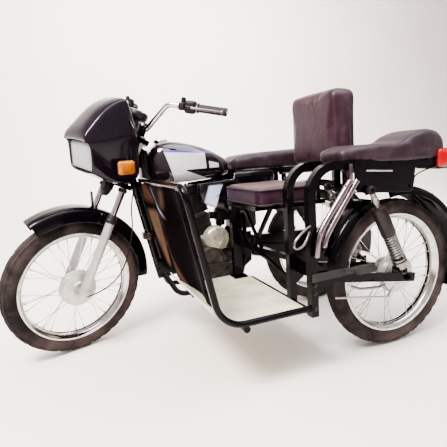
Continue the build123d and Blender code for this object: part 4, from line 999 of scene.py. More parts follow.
def fuel_tank():
    """Pressed steel tank: a crowned top, flat knees and a bright filler cap."""
    stations = [
        (498, 52, 722, 780, 22, 0.8),
        (504, 62, 714, 786, 26, 0.8),
        (540, 86, 706, 806, 34, 0.8),
        (590, 106, 702, 834, 44, 0.82),
        (650, 119, 698, 856, 52, 0.82),
        (720, 126, 696, 874, 58, 0.82),
        (790, 127, 696, 884, 60, 0.82),
        (835, 112, 700, 874, 54, 0.82),
        (858, 94, 712, 852, 46, 0.84),
        (868, 74, 730, 828, 34, 0.86),
    ]
    rings = []
    for x, half, low, high, corner, narrow in stations:
        rings.append(crowned_ring(x, 0, half, low, high, corner, narrow, corner))
    obj = skin_loft("pressed_fuel_tank", rings)
    apply(obj, "SUBSURF", levels=2, render_levels=2)
    smooth(obj, 50)
    fit(obj, "chassis", FINISHES["tank"], ["fuel_tank"])
    centre = at(800, 0, 880)
    cap = turned(
        "filler_cap",
        [(0, 0.4), (-4, 30), (-2, 34), (3, 34), (9, 31), (11, 26), (14, 22), (15, 8), (15, 0.4)],
        centre, UP, FORWARD, 48,
    )
    return fit(smooth(cap, 30), "chassis", FINISHES["chrome"])


# how a pad's cover is blown up: mesh size, the most that a point may move, pressure, frames
PAD_VOXEL = 5.0
PAD_SWELL = 5.0
PAD_PRESSURE = 4.0
PAD_FRAMES = 20


def soften(obj):
    """Blow the cover up like foam under vinyl, and hold each point within a cap of its start."""
    apply(obj, "REMESH", mode="VOXEL", voxel_size=PAD_VOXEL * MM)
    start = [v.co.copy() for v in obj.data.vertices]
    pick(obj)
    cloth = obj.modifiers.new("Cloth", "CLOTH")
    cloth.settings.use_pressure = True
    cloth.settings.uniform_pressure_force = PAD_PRESSURE
    cloth.settings.effector_weights.gravity = 0.0
    cloth.settings.quality = 5
    cloth.settings.tension_stiffness = 15
    cloth.settings.bending_stiffness = 5
    cloth.settings.shrink_min = 0.0
    cloth.point_cache.frame_start = 1
    cloth.point_cache.frame_end = PAD_FRAMES
    for step in range(1, PAD_FRAMES + 1):
        bpy.context.scene.frame_set(step)
    bpy.ops.object.modifier_apply(modifier=cloth.name)
    bpy.context.scene.frame_set(1)
    for vertex, origin in zip(obj.data.vertices, start):
        move = vertex.co - origin
        if move.length > PAD_SWELL * MM:
            vertex.co = origin + move.normalized() * PAD_SWELL * MM
    apply(obj, "SMOOTH", factor=0.5, iterations=8)
    return obj


def shaped_pad(name, sections, finish, node):
    """A stuffed pad bridged through sections, blown up and smoothed once more."""
    obj = skin_loft(name, sections)
    soften(obj)
    apply(obj, "SUBSURF", levels=1, render_levels=1)
    smooth(obj, 60)
    fit(obj, "chassis", FINISHES[finish], [node])
    return obj


def seat_sections(y, profile):
    """Sections of a long seat: X, half width, base, top, corner and how narrow the top is."""
    return [crowned_ring(x, y, *shape, 8) for x, *shape in profile]


def seats():
    """The two long seats, each with a raised tail."""
    shaped_pad(
        "long_seat",
        seat_sections(0, [
            (488, 62, 731, 772, 14, 0.9), (470, 84, 731, 788, 22, 0.92),
            (400, 104, 731, 796, 24, 0.94), (300, 116, 731, 801, 24, 0.94),
            (180, 120, 731, 804, 24, 0.94), (60, 121, 731, 807, 24, 0.94),
            (0, 121, 732, 820, 26, 0.94), (-60, 119, 733, 840, 28, 0.94),
            (-120, 114, 735, 852, 32, 0.92), (-180, 102, 740, 848, 34, 0.9),
            (-215, 82, 750, 828, 30, 0.86), (-226, 60, 762, 810, 20, 0.8),
        ]),
        "seat", "bike_seat",
    )
    shaped_pad(
        "carriage_long_seat",
        seat_sections(CARRIAGE_SEAT_Y, [
            (348, 52, 756, 790, 12, 0.9), (338, 72, 750, 799, 18, 0.92),
            (290, 92, 746, 803, 20, 0.94), (200, 101, 744, 804, 20, 0.94),
            (110, 106, 742, 803, 20, 0.94), (78, 107, 741, 808, 22, 0.94),
            (42, 107, 741, 828, 26, 0.94), (0, 106, 741, 842, 30, 0.94),
            (-42, 104, 742, 849, 34, 0.93), (-84, 98, 748, 846, 36, 0.92),
            (-118, 84, 764, 832, 32, 0.9), (-136, 62, 780, 814, 14, 0.86),
        ]),
        "seat", "carriage_seat",
    )


def box_sections(low, high, radius, axis, steps):
    """Sections of a box-shaped pad along one axis, drawn in at its two ends."""
    rings = []
    for share, draw in steps:
        if axis == "Z":
            z = low[2] + (high[2] - low[2]) * share
            hx = (high[0] - low[0]) / 2 - draw
            hy = (high[1] - low[1]) / 2 - draw
            centre = at((low[0] + high[0]) / 2, (low[1] + high[1]) / 2, z)
            rings.append(rounded_ring(centre, hx, -hy, hy, radius, FORWARD, LEFT, 6))
        else:
            x = low[0] + (high[0] - low[0]) * share
            hy = (high[1] - low[1]) / 2 - draw
            hz = (high[2] - low[2]) / 2 - draw
            centre = at(x, (low[1] + high[1]) / 2, (low[2] + high[2]) / 2)
            rings.append(rounded_ring(centre, hy, -hz, hz, radius, LEFT, UP, 6))
    return rings


def cushions():
    """The passenger's cushion and backrest, boxed pads, and the cushion's piping."""
    steps = ((0.02, 9), (0.1, 3), (0.3, 1), (0.7, 1), (0.9, 3), (0.98, 9))
    shaped_pad(
        "passenger_cushion",
        box_sections((294, 154, 603), (571, 486, 672), 26, "Z", steps),
        "cushion", "side_cushion",
    )
    shaped_pad(
        "passenger_backrest",
        box_sections((123, 173, 736), (230, 499, 1034), 32, "X", steps),
        "backrest", "side_backrest",
    )
    cords = []
    for z in (609, 664):
        ring = rounded_ring(at(432.5, 320, z), 134.5, -162, 162, 26, FORWARD, LEFT, 6)
        cords.append(welt("cushion_piping", ring, 2.6))
    obj = joined(cords, "welted_piping")
    return fit(obj, "chassis", FINISHES["cushion"])


def welt(name, ring, radius):
    """A closed round piping cord along a ring of points."""
    obj = trace(name, ring, closed=True)
    bare()
    pick(obj)
    bpy.ops.object.convert(target="CURVE")
    obj.data.bevel_depth = radius * MM
    obj.data.bevel_resolution = 2
    pick(obj)
    bpy.ops.object.convert(target="MESH")
    return smooth(bpy.context.object, 60)


def tank_paint(panel_colour):
    """Tank enamel: plum black above, a silver white panel, a blue pinstripe, black below.

    The paint's edges are planes in the tank's own millimetres, masked in Object coordinates."""
    finish, tree, shader, place, relief, colour = worn(
        "two_tone_tank_enamel", "#1A1018", "#5B4C48", (200.0, 3.0), (0.1, 0.35), 0.25, 0.5, 0.4,
        coat_weight=1.0, coat_roughness=0.05,
    )
    axes = local_millimetres(tree, place)
    pivot = 680
    soft = 1.2

    def edge(slope, height, below=0.0, above=1.0):
        """One value below the line Z = height + slope * (X - pivot), another above it."""
        line = add_node(
            tree, "ShaderNodeMath",
            {"operation": "MULTIPLY_ADD", 1: -slope, 2: pivot * slope - height},
            {0: axes.outputs["X"]},
        )
        over = add_node(
            tree, "ShaderNodeMath", {"operation": "ADD"}, {0: axes.outputs["Z"], 1: line.outputs[0]}
        )
        return add_node(
            tree, "ShaderNodeMapRange",
            {"From Min": -soft, "From Max": soft, "To Min": below, "To Max": above},
            {"Value": over.outputs[0]},
        ).outputs["Result"]

    def slanted(reach, slope):
        """1 behind the line X = reach + slope * (Z - pivot), 0 ahead of it."""
        line = add_node(
            tree, "ShaderNodeMath",
            {"operation": "MULTIPLY_ADD", 1: slope, 2: reach - pivot * slope},
            {0: axes.outputs["Z"]},
        )
        behind = add_node(
            tree, "ShaderNodeMath", {"operation": "SUBTRACT"}, {0: line.outputs[0], 1: axes.outputs["X"]}
        )
        return add_node(
            tree, "ShaderNodeMapRange", {"From Min": -soft, "From Max": soft},
            {"Value": behind.outputs[0]},
        ).outputs["Result"]

    def band(first, last):
        """1 between two lengths along the tank."""
        start = add_node(
            tree, "ShaderNodeMapRange", {"From Min": first - 1, "From Max": first + 1},
            {"Value": axes.outputs["X"]},
        )
        end = add_node(
            tree, "ShaderNodeMapRange",
            {"From Min": last - 1, "From Max": last + 1, "To Min": 1.0, "To Max": 0.0},
            {"Value": axes.outputs["X"]},
        )
        return add_node(
            tree, "ShaderNodeMath", {"operation": "MULTIPLY"},
            {0: start.outputs["Result"], 1: end.outputs["Result"]},
        ).outputs[0]

    side = add_node(tree, "ShaderNodeMath", {"operation": "ABSOLUTE"}, {0: axes.outputs["Y"]})
    flank = add_node(
        tree, "ShaderNodeMapRange", {"From Min": 68.0, "From Max": 72.0}, {"Value": side.outputs[0]}
    ).outputs["Result"]
    panel = (edge(0.07, 826, 1.0, 0.0), edge(0.0, 702), slanted(770, 0.283), band(626, 900), flank)
    patch = (band(560, 612), edge(0.0, 746), edge(0.25, 800, 1.0, 0.0), flank)
    wedge = (band(400, 724), edge(0.0, 752, 1.0, 0.0), edge(0.385, 730))
    divider = (band(612, 627),)
    stripe = (
        edge(0.07, 823), edge(0.07, 833, 1.0, 0.0), slanted(770, 0.283), band(560, 900), flank,
    )
    coats = (
        (panel_colour, panel),
        (linear("#D6D2D8"), patch),
        (linear("#0D0B0E"), wedge),
        (linear("#0D0B0E"), divider),
        (linear("#5A4E9C"), stripe),
    )
    tree.links.new(painted(tree, colour.outputs[2], coats), shader.inputs["Base Color"])
    return finish


def shield_paint():
    """Black enamel on thin fluted sheet, with painted reflections of the tan ground down the flutes and
    painted violet and grey highlights.

    Each streak: its Y at Z 500, lean, half width at Z 500, widening, lowest and highest Z, its
    colour, and how much of the black it hides."""
    finish, tree, shader, place, relief, colour = worn(
        "fluted_black_enamel_sheet", "#0A0507", "#2E1D1A", (160.0, 3.0), (0.3, 0.5), 0.1, 0.02, 0.4,
        specular_ior_level=0.001, coat_weight=0.0,
    )
    axes = local_millimetres(tree, place)
    rise = add_node(
        tree, "ShaderNodeMath", {"operation": "SUBTRACT", 1: 500.0}, {0: axes.outputs["Z"]}
    )
    ragged = add_node(
        tree, "ShaderNodeTexNoise", {"Scale": 16.0, "Detail": 4.0}, {"Vector": place}
    )
    broken = add_node(
        tree, "ShaderNodeMapRange", {"From Min": 0.25, "From Max": 0.55, "To Min": 0.7, "To Max": 1.0},
        {"Value": ragged.outputs["Fac"]},
    )
    painted_reflections = []
    # painted reflections: the tan and brown streaks stand for the ground mirrored in the glossy flutes, since
    # the sheet's own reflection is nearly off; the pale violet streak (#A8A2BE) is a painted highlight on the
    # upper bend, and the narrow grey one at Y 600 is a painted highlight along the edge
    for middle, lean, half, widen, low, high, paint, share in (
        (130, 0.0, 62, 0.30, 345, 596, "#6A5646", 0.8),
        (120, -0.1, 215, -0.93, 634, 716, "#664A3C", 0.7),
        (192, -1.17, 36, 0.0, 330, 490, "#573A30", 0.7),
        (491, -1.49, 17, 0.0, 596, 696, "#A8A2BE", 0.8),
        (310, 0.45, 26, 0.0, 628, 700, "#58403A", 0.7),
        (600, -0.1, 8, 0.0, 380, 600, "#6A6678", 0.5),
    ):
        shift = add_node(
            tree, "ShaderNodeMath", {"operation": "MULTIPLY_ADD", 1: -lean, 2: -float(middle)},
            {0: rise.outputs[0]},
        )
        off = add_node(
            tree, "ShaderNodeMath", {"operation": "ADD"}, {0: axes.outputs["Y"], 1: shift.outputs[0]}
        )
        wide = add_node(tree, "ShaderNodeMath", {"operation": "ABSOLUTE"}, {0: off.outputs[0]})
        reach = add_node(
            tree, "ShaderNodeMath", {"operation": "MULTIPLY_ADD", 1: -widen, 2: -float(half)},
            {0: rise.outputs[0]},
        )
        beyond = add_node(
            tree, "ShaderNodeMath", {"operation": "ADD"}, {0: wide.outputs[0], 1: reach.outputs[0]}
        )
        inside = add_node(
            tree, "ShaderNodeMapRange",
            {"From Min": -22.0, "From Max": 14.0, "To Min": share, "To Max": 0.0},
            {"Value": beyond.outputs[0]},
        )
        above = add_node(
            tree, "ShaderNodeMapRange", {"From Min": low - 14.0, "From Max": low + 14.0},
            {"Value": axes.outputs["Z"]},
        )
        below = add_node(
            tree, "ShaderNodeMapRange",
            {"From Min": high - 12.0, "From Max": high + 12.0, "To Min": 1.0, "To Max": 0.0},
            {"Value": axes.outputs["Z"]},
        )
        masks = [mask.outputs["Result"] for mask in (above, below, inside, broken)]
        painted_reflections.append((linear(paint), masks))
    tree.links.new(painted(tree, colour.outputs[2], painted_reflections), shader.inputs["Base Color"])
    return finish


def side_panel_paint():
    """Gloss black moulding with a painted pale blue highlight on its front end."""
    finish, tree, shader, place, relief, colour = worn(
        "gloss_side_panel", "#0F0A12", "#3B2D33", (180.0, 4.0), (0.12, 0.32), 0.1, 0.1, 0.3,
        specular_ior_level=0.35, coat_weight=0.3, coat_roughness=0.05,
    )
    axes = local_millimetres(tree, place)
    reach = add_node(
        tree, "ShaderNodeMath", {"operation": "MULTIPLY_ADD", 1: 0.35},
        {0: axes.outputs["Z"], 2: axes.outputs["X"]},
    )
    masks = []
    for value, first, last, start, end in (
        (reach.outputs[0], 786.0, 792.0, 0.0, 1.0),
        (reach.outputs[0], 846.0, 856.0, 1.0, 0.0),
        (axes.outputs["Z"], 668.0, 674.0, 1.0, 0.0),
    ):
        mask = add_node(
            tree, "ShaderNodeMapRange",
            {"From Min": first, "From Max": last, "To Min": start, "To Max": end}, {"Value": value},
        )
        masks.append(mask.outputs["Result"])
    # painted highlight: a pale blue sky reflection on the panel's front end, masked in the panel's own
    # millimetres
    painted_highlight = painted(tree, colour.outputs[2], [(linear("#C9D3F2"), masks)])
    tree.links.new(painted_highlight, shader.inputs["Base Color"])
    return finish


# springs and mudguards

SHOCK_LINES = (
    ((232, 118, 668), (52, 118, 336)),
    ((232, -118, 668), (52, -118, 336)),
    ((252, 474, 652), (104, 474, 340)),
    ((252, 718, 652), (104, 718, 340)),
)


def shock(top, low):
    """A spring unit: eyes, top shroud, coil, damper body and preload rings."""
    head, foot = at(*top), at(*low)
    way = (head - foot).normalized()
    length = (head - foot).length / MM
    dark, bright = [], []
    dark.append(
        turned(
            "shroud",
            [(length * 0.46, 19), (length * 0.46, 25), (length * 0.475, 26.5), (length * 0.76, 26.5),
             (length * 0.79, 23), (length * 0.8, 10), (length * 0.8, 6)],
            foot, way, LEFT, 36, closed=False,
        )
    )
    bright.append(
        turned(
            "damper",
            [(8, 6), (12, 15), (30, 17), (34, 26), (40, 27), (46, 27), (47, 22), (52, 22), (53, 27),
             (59, 27), (60, 17), (length * 0.45, 17), (length * 0.45, 9), (length * 0.84, 9),
             (length * 0.85, 13), (length * 0.9, 13), (length * 0.91, 10), (length - 12, 10)],
            foot, way, LEFT, 36, closed=False,
        )
    )
    gauge = 4.0
    radius = 20.5
    turns = 11
    low_end = 62.0
    rise = length * 0.52 - low_end
    bare()
    bpy.ops.mesh.primitive_circle_add(vertices=8, radius=gauge * MM, location=(radius * MM, 0, 0),
                                      rotation=(math.pi / 2, 0, 0))
    wound = settle(named(bpy.context.object, "coil"))
    apply(wound, "SCREW", angle=math.tau * turns, screw_offset=rise * MM,
          steps=18 * turns, render_steps=18 * turns, axis="Z", use_merge_vertices=True)
    turn = way.to_track_quat("Z", "Y").to_matrix().to_4x4()
    wound.data.transform(Matrix.Translation(foot + way * low_end * MM) @ turn)
    edit(wound)
    outward()
    bare()
    bright.append(smooth(wound, 60))
    for end in (head, foot):
        eye = turned(
            "eye", [(-9, 6.2), (-9, 13), (-7, 15), (7, 15), (9, 13), (9, 6.2)], end, LEFT, UP, 28
        )
        dark.append(eye)
    return dark, bright


def springs():
    """Four spring units, two behind the saddle and two beside the carriage's wheel."""
    dark, bright = [], []
    for top, low in SHOCK_LINES:
        unit_dark, unit_bright = shock(top, low)
        dark += unit_dark
        bright += unit_bright
    shrouds = smooth(joined(dark, "spring_shrouds"), 35)
    fit(shrouds, "chassis", FINISHES["shroud"], ["shock_absorbers"])
    coils = joined(bright, "coils_and_dampers")
    fit(coils, "chassis", FINISHES["spring"], ["shock_absorbers"])


def guard(name, centre, radius, half, skirt, first, last):
    """A pressed mudguard: a crowned, ribbed section with rolled edges, swept along its arc."""
    section = [
        (-half - 1.5, radius - skirt), (-half + 0.5, radius - skirt - 2), (-half + 1.5, radius - skirt),
        (-half + 3, radius - 16), (-half + 9, radius - 7), (-half + 18, radius - 2.5),
        (-half * 0.35, radius - 0.8), (-6, radius - 0.4), (0, radius - 1.2), (6, radius - 0.4),
        (half * 0.35, radius - 0.8), (half - 18, radius - 2.5), (half - 9, radius - 7),
        (half - 3, radius - 16), (half - 1.5, radius - skirt), (half - 0.5, radius - skirt - 2),
        (half + 1.5, radius - skirt),
    ]
    sweep = math.radians(last - first)
    start = Vector((math.cos(math.radians(first)), 0.0, math.sin(math.radians(first))))
    steps = max(8, int((last - first) / 3))
    points = [centre + LEFT * a * MM + start * r * MM for a, r in section]
    obj = trace(name, points)
    bpy.ops.mesh.spin(steps=steps, angle=sweep, center=centre, axis=LEFT)
    outward()
    bare()
    apply(obj, "SOLIDIFY", thickness=1.6 * MM, offset=0.0)
    return smooth(obj, 40)


def mudguards():
    """The front guard with its lugs, and the carriage's guard with its flap and stays."""
    front = guard("front_mudguard", at(1241, 0, 311), 338, 55, 56, 62, 186)
    parts = [front]
    for side in (-1, 1):
        lug = HEAD_FOOT + HEAD_AXIS * 616 * MM + FORE * AXLE_FORE * MM + LEFT * side * 63 * MM
        parts.append(block("lug", lug, (34, 16, 24), 3.0))
        parts.append(bolt("lug_bolt", lug + LEFT * side * 7 * MM, LEFT * side, 9, 4))
    parts.append(block("guard_blade", at(1130, 0, 662), (3, 24, 68), 1.0))
    whole = smooth(joined(parts, "front_mudguard"), 40)
    fit(whole, "steering", FINISHES["enamel"], ["front_guard"])

    hub = at(SIDE_AXLE_X, SIDE_WHEEL_Y, TYRE_R)
    rear = guard("carriage_mudguard", hub, 350, 66, 33, 79, 200)
    flap = guard("splash_flap", hub, 350, 66, 33, 20, 60)
    held = [rear, flap, block("flap_shelf", at(234, SIDE_WHEEL_Y, 599), (44, 50, 14), 2.0)]
    rail = 719
    for x, foot in ((-40, 634), (100, 640), (250, 602)):
        middle = at(x, SIDE_WHEEL_Y, (foot + rail) / 2)
        held.append(block("guard_stay", middle, (12, 50, rail - foot), 1.5))
        for y in (576, 608):
            held.append(bolt("guard_bolt", at(x, y, foot - 6), -UP, 10, 5))
    for angle in (118, 150, 190):
        turn = math.radians(angle)
        out = Vector((math.cos(turn), 0, math.sin(turn)))
        for side in (-60, 60):
            line = hub + LEFT * side * MM
            held.append(rod("rivet", line + out * 0.341, line + out * 0.3445, 4.2, 10, 2.5))
    body = smooth(joined(held, "carriage_mudguard"), 40)
    fit(body, "chassis", FINISHES["enamel"], ["carriage_guard"])


# sheet metal, engine and small fittings


def strip(name, section, way, length, thick):
    """A pressed sheet: an open section line drawn out along a direction and given its gauge."""
    obj = trace(name, section)
    bpy.ops.mesh.extrude_region_move(TRANSFORM_OT_translate={"value": way * length})
    bare()
    apply(obj, "SOLIDIFY", thickness=thick * MM, offset=0.0)
    return obj


def corner_cut(obj, place, normal):
    """Cut off what lies beyond a plane and close the cut."""
    edit(obj)
    bpy.ops.mesh.select_all(action="SELECT")
    bpy.ops.mesh.bisect(plane_co=place, plane_no=normal, clear_outer=True, use_fill=True)
    bare()
    return obj


SHIELD_LEAN = math.atan2(911 - 822, 722 - 262)


def leg_shield():
    """The passenger's leg shield: sheet with pressed flutes, a hemmed edge and its screws."""
    up = Vector((math.sin(SHIELD_LEAN), 0.0, math.cos(SHIELD_LEAN)))
    ahead = Vector((math.cos(SHIELD_LEAN), 0.0, -math.sin(SHIELD_LEAN)))
    foot = at(845.6, 0, 336)
    flutes = (
        (-34, -6), (-32, 0.0), (50, 1.5), (80, 1.5), (112, -7), (150, -12.5), (196, -9),
        (250, -3), (290, 3.5), (330, 5.5), (372, 2.5), (420, -3), (480, -9), (540, -12.5),
        (590, -7), (630, 1.5), (660, 1.5), (673, 1.5),
    )
    section = [foot + LEFT * y * MM + ahead * bulge * MM for y, bulge in flutes]
    sheet = strip("leg_shield_sheet", section, up, 0.3805, 1.6)
    centre = foot + LEFT * 630 * MM + up * 0.337
    for turn in (20, 45, 70):
        angle = math.radians(turn)
        normal = LEFT * math.cos(angle) + up * math.sin(angle)
        corner_cut(sheet, centre + normal * 0.0438, normal)
    apply(sheet, "SUBSURF", levels=1, render_levels=1, subdivision_type="SIMPLE")
    fixings = []
    for y, height in ((120, 0.358), (300, 0.358), (480, 0.358), (655, 0.29), (655, 0.17), (655, 0.05)):
        place = foot + LEFT * y * MM + up * height + ahead * 2 * MM
        fixings.append(rod("screw", place, place + ahead * 4 * MM, 6.5, 14, 3.5))
    whole = smooth(joined([sheet, *fixings], "leg_shield_pressing"), 40)
    return fit(whole, "chassis", FINISHES["shield"], ["leg_shield"])


def side_panels():
    """A swelling moulded panel below each side of the saddle, with a painted highlight on its front end."""
    outline = (
        (664, 684), (668, 640), (656, 604), (610, 574), (530, 548), (470, 528), (400, 548), (346, 572),
        (306, 640), (292, 690), (300, 720), (420, 722), (500, 722), (506, 694), (560, 690),
    )
    panels = []
    for side in (-1, 1):
        rings = []
        for share, out in (
            (1.0, 107), (1.0, 113), (0.97, 117.5), (0.9, 121), (0.72, 123.5), (0.4, 124.5),
        ):
            ring = []
            for x, z in outline:
                wide = 1.0 if x < 510 else 0.86 if x < 600 else 0.74
                ring.append(at(460 + (x - 460) * share, side * out * wide, 640 + (z - 640) * share))
            rings.append(ring if side > 0 else list(reversed(ring)))
        panel = skin_loft("side_panel", rings)
        panels.append(smooth(panel, 50))
    whole = joined(panels, "moulded_side_panels")
    fit(whole, "chassis", FINISHES["side_panel"], ["side_panels"])
    knobs = []
    for side in (-1, 1):
        for x, z, y in ((450, 706, 116), (330, 700, 116)):
            knobs.append(bolt("panel_screw", at(x, side * y, z), LEFT * side, 11, 5))
    knob = joined(knobs, "side_panel_screws")
    return fit(knob, "chassis", FINISHES["chrome"])


# the leaning barrel: where it stands on the crankcase, and its own directions
BARREL_FOOT = at(638, 0, 422)
BARREL_LEAN = math.radians(15.0)
BARREL_UP = Vector((math.sin(BARREL_LEAN), 0.0, math.cos(BARREL_LEAN)))
BARREL_AHEAD = Vector((math.cos(BARREL_LEAN), 0.0, -math.sin(BARREL_LEAN)))


def on_barrel(up, ahead=0.0, side=0.0):
    """Point up the barrel, ahead of its middle and to its left, in millimetres."""
    return BARREL_FOOT + BARREL_UP * up * MM + BARREL_AHEAD * ahead * MM + LEFT * side * MM


def fin_ring(height, half_x, half_y, corner):
    """One rounded outline of a fin, a height up the barrel."""
    return rounded_ring(
        on_barrel(height), half_x, -half_y, half_y, corner, BARREL_AHEAD, LEFT, 4
    )


def finned_barrel():
    """The barrel and head in fins, the rocker cover, its nuts, the plug and the exhaust port."""
    parts = []
    for first, last, half_x, half_y in ((24, 116, 56, 55), (128, 222, 62, 60)):
        rings = []
        height = first
        while height < last:
            for rise, draw in ((0, 16), (0.6, 0), (4.2, 0), (5.0, 16)):
                rings.append(fin_ring(height + rise, half_x - draw, half_y - draw, 15))
            height += 10.5
        parts.append(skin_loft("fins", rings))
    cover = ((222, 46, 44, 16), (246, 48, 46, 18), (252, 46, 44, 18), (255, 34, 34, 16))
    parts.append(skin_loft("rocker_cover", [fin_ring(*outline) for outline in cover]))
    for side in (-1, 1):
        for ahead in (-30, 30):
            parts.append(bolt("head_nut", on_barrel(250, ahead, side * 34), BARREL_UP, 12, 8))
    cap_from = on_barrel(196, 20, 56)
    cap_way = LEFT + BARREL_UP * 0.5
    parts.append(rod("plug_cap", cap_from, cap_from + cap_way * 26 * MM, 9, 16, 7))
    barrel = smooth(joined(parts, "finned_barrel_and_head"), 30)
    fit(barrel, "chassis", FINISHES["barrel"], ["engine_cylinder"])
    port = turned(
        "exhaust_port_ring",
        [(0, 16), (0, 27), (8, 27), (10, 24), (14, 24), (14, 16)],
        on_barrel(128, 58), BARREL_AHEAD, LEFT, 28,
    )
    spark = rod("spark_plug", cap_from - cap_way * 10 * MM, cap_from, 6, 6)
    bright = smooth(joined([port, spark], "port_and_plug"), 30)
    fit(bright, "chassis", FINISHES["chrome"])


def cover_screws(centre, out, count, stagger, ring, foot, height, radius, tip):
    """Cheese-headed screws in a ring round a cover that faces out."""
    made = []
    for number in range(count):
        angle = math.tau * (number + stagger) / count
        rim = FORWARD * math.cos(angle) + UP * math.sin(angle)
        place = centre + rim * ring * MM + out * foot * MM
        made.append(rod("cover_screw", place, place + out * height * MM, radius, 12, tip))
    return made


def generator_cover():
    """The polished round cover at the left end of the crankshaft, with its five screws."""
    centre = at(598, 66, 424)
    shell = turned(
        "generator_cover",
        [(-2, 0.5), (-2, 60), (30, 60), (38, 57), (44, 50), (47, 40), (47.5, 22), (45, 18), (45, 0.5)],
        centre, LEFT, UP, 48,
    )
    screws = cover_screws(centre, LEFT, 5, 0.2, 52, 40, 7, 4.4, 4.0)
    obj = smooth(joined([shell, *screws], "generator_cover"), 30)
    fit(obj, "chassis", FINISHES["bright_alloy"])


def crankcase():
    """The crankcase with two round covers on each side, its front lug and its pivot boss."""
    covers = []
    for side, reach in ((1, 52.0), (-1, 56.0)):
        out = LEFT * side
        for x, z, radius, face, screws in ((640, 318, 86, reach, 7), (548, 318, 58, 26.0, 5)):
            base = at(x, side * 68, z)
            cover = turned(
                "cover",
                [(-2, 0.5), (-2, radius), (5, radius), (6, radius - 2), (face - 18, radius - 6),
                 (face - 6, radius - 12), (face, radius - 22), (face + 0.8, radius - 34),
                 (face - 1.6, radius - 40), (face - 1.4, 0.5)],
                base, out, UP, 48,
            )
            covers.append(cover)
            covers += cover_screws(base, out, screws, 0.4, radius - 5, 4, 6, 5, 4.4)
    case = skin_loft(
        "crankcase",
        [
            [at(x, y, z) for x, z in (
                (728, 250), (718, 226), (690, 208), (520, 206), (500, 222), (488, 250), (492, 380),
                (510, 404), (540, 420), (620, 426), (700, 426), (720, 408), (728, 380),
            )]
            for y in (-68, -64, -2, 2, 64, 68)
        ],
    )
    apply(case, "BEVEL", width=3 * MM, segments=2, limit_method="ANGLE", angle_limit=math.radians(40))
    covers.append(case)
    covers.append(block("front_lug", at(736, 0, 300), (44, 44, 34), 5))
    covers.append(rod("pivot_boss", at(500, -78, 300), at(500, 78, 300), 12, 24))
    block_piece = smooth(joined(covers, "crankcase_and_covers"), 30)
    fit(block_piece, "chassis", FINISHES["case"], ["engine_block"])


def intake():
    """The manifold, the carburettor with its float bowl, the ribbed hose and the air box."""
    pipes = []
    pipes.append(rod("manifold", at(596, 0, 524), at(562, 0, 520), 18, 28))
    pipes.append(block("mixer_body", at(540, 0, 522), (48, 46, 60), 7))
    pipes.append(
        turned("float_bowl", [(0, 0.5), (0, 20), (4, 23), (26, 23), (30, 24.5), (34, 24.5)],
               at(540, 0, 470), UP, FORWARD, 32, closed=False)
    )
    pipes.append(
        turned("slide_top", [(0, 20), (14, 20), (17, 18), (20, 8), (24, 7), (24, 0.5)],
               at(540, 0, 552), UP, FORWARD, 28, closed=False)
    )
    hose = [(0, 23), (4, 26), (12, 26), (15, 23)]
    pipes.append(
        turned("rubber_hose",
               [(a + 15 * fold, r) for fold in range(3) for a, r in hose] + [(58, 24)],
               at(471, 0, 515), FORWARD, UP, 32, closed=False)
    )
    box = skin_loft(
        "air_box",
        [
            rounded_ring(at(430, y, 510), half, -65 + draw, 65 - draw, 22, FORWARD, UP, 5)
            for y, half, draw in (
                (-62, 50, 9), (-56, 58, 1), (-50, 59, 0), (50, 59, 0), (56, 58, 1), (62, 50, 9),
            )
        ],
    )
    pipes.append(box)
    whole = smooth(joined(pipes, "intake_and_air_box"), 35)
    return fit(whole, "chassis", FINISHES["plastic"], ["intake"])


def grab_stays():
    """The pair of bright bars beside the outer post, bent down at their foot, and their strap."""
    face = 700.2
    bars = []
    for shift in (0.0, 30.0):
        line = [
            at(336 - shift, face + 12, 690), at(350 - shift, face + 12, 672),
            at(452 - shift, face + 12, 546 - shift / 3), at(474 - shift, face + 12, 500),
            at(476 - shift, face + 12, 452 + shift),
        ]
        bars.append(wire("grab_bar", line, 10.4, 4))
        bars.append(rod("bar_end", line[-1], line[-1] - UP * 5 * MM, 10.6, 16, 8.0))
    for x, z in ((462, 524), (352, 672)):
        bars.append(rod("bar_stud", at(x, face, z), at(x, face + 12, z), 6, 14))
        bars.append(bolt("bar_nut", at(x, face + 17, z), LEFT, 11, 5))
    bars.append(block("strap", at(331, face + 7, 710), (16, 14, 76), 3.0))
    bars.append(
        wire("step_loop", [at(494, 704, 556), at(520, 716, 550), at(560, 718, 520), at(570, 718, 498),
                           at(552, 718, 486), at(520, 716, 502), at(498, 706, 538)], 4.2, 3)
    )
    bars.append(
        wire("side_lever", [at(330, 700, 318), at(318, 716, 308), at(270, 718, 302), at(206, 718, 296),
                            at(190, 716, 302)], 5.0, 3)
    )
    whole = smooth(joined(bars, "bright_grab_stays"), 40)
    return fit(whole, "chassis", FINISHES["dull_chrome"], ["chrome_stays"])


def folded_peg():
    """The rubber of the folded foot peg, with its moulded ribs."""
    parts = [block("peg_rubber", at(290, 722, 380), (88, 24, 22), 6, None, 3)]
    for count in range(7):
        parts.append(block("peg_rib", at(256 + count * 11, 722, 380), (4, 26.5, 24.5), 2))
    parts.append(rod("peg_rod", at(334, 722, 382), at(372, 722, 384), 7, 16, 7))
    whole = smooth(joined(parts, "folded_peg_rubber"), 40)
    return fit(whole, "chassis", FINISHES["grip"])


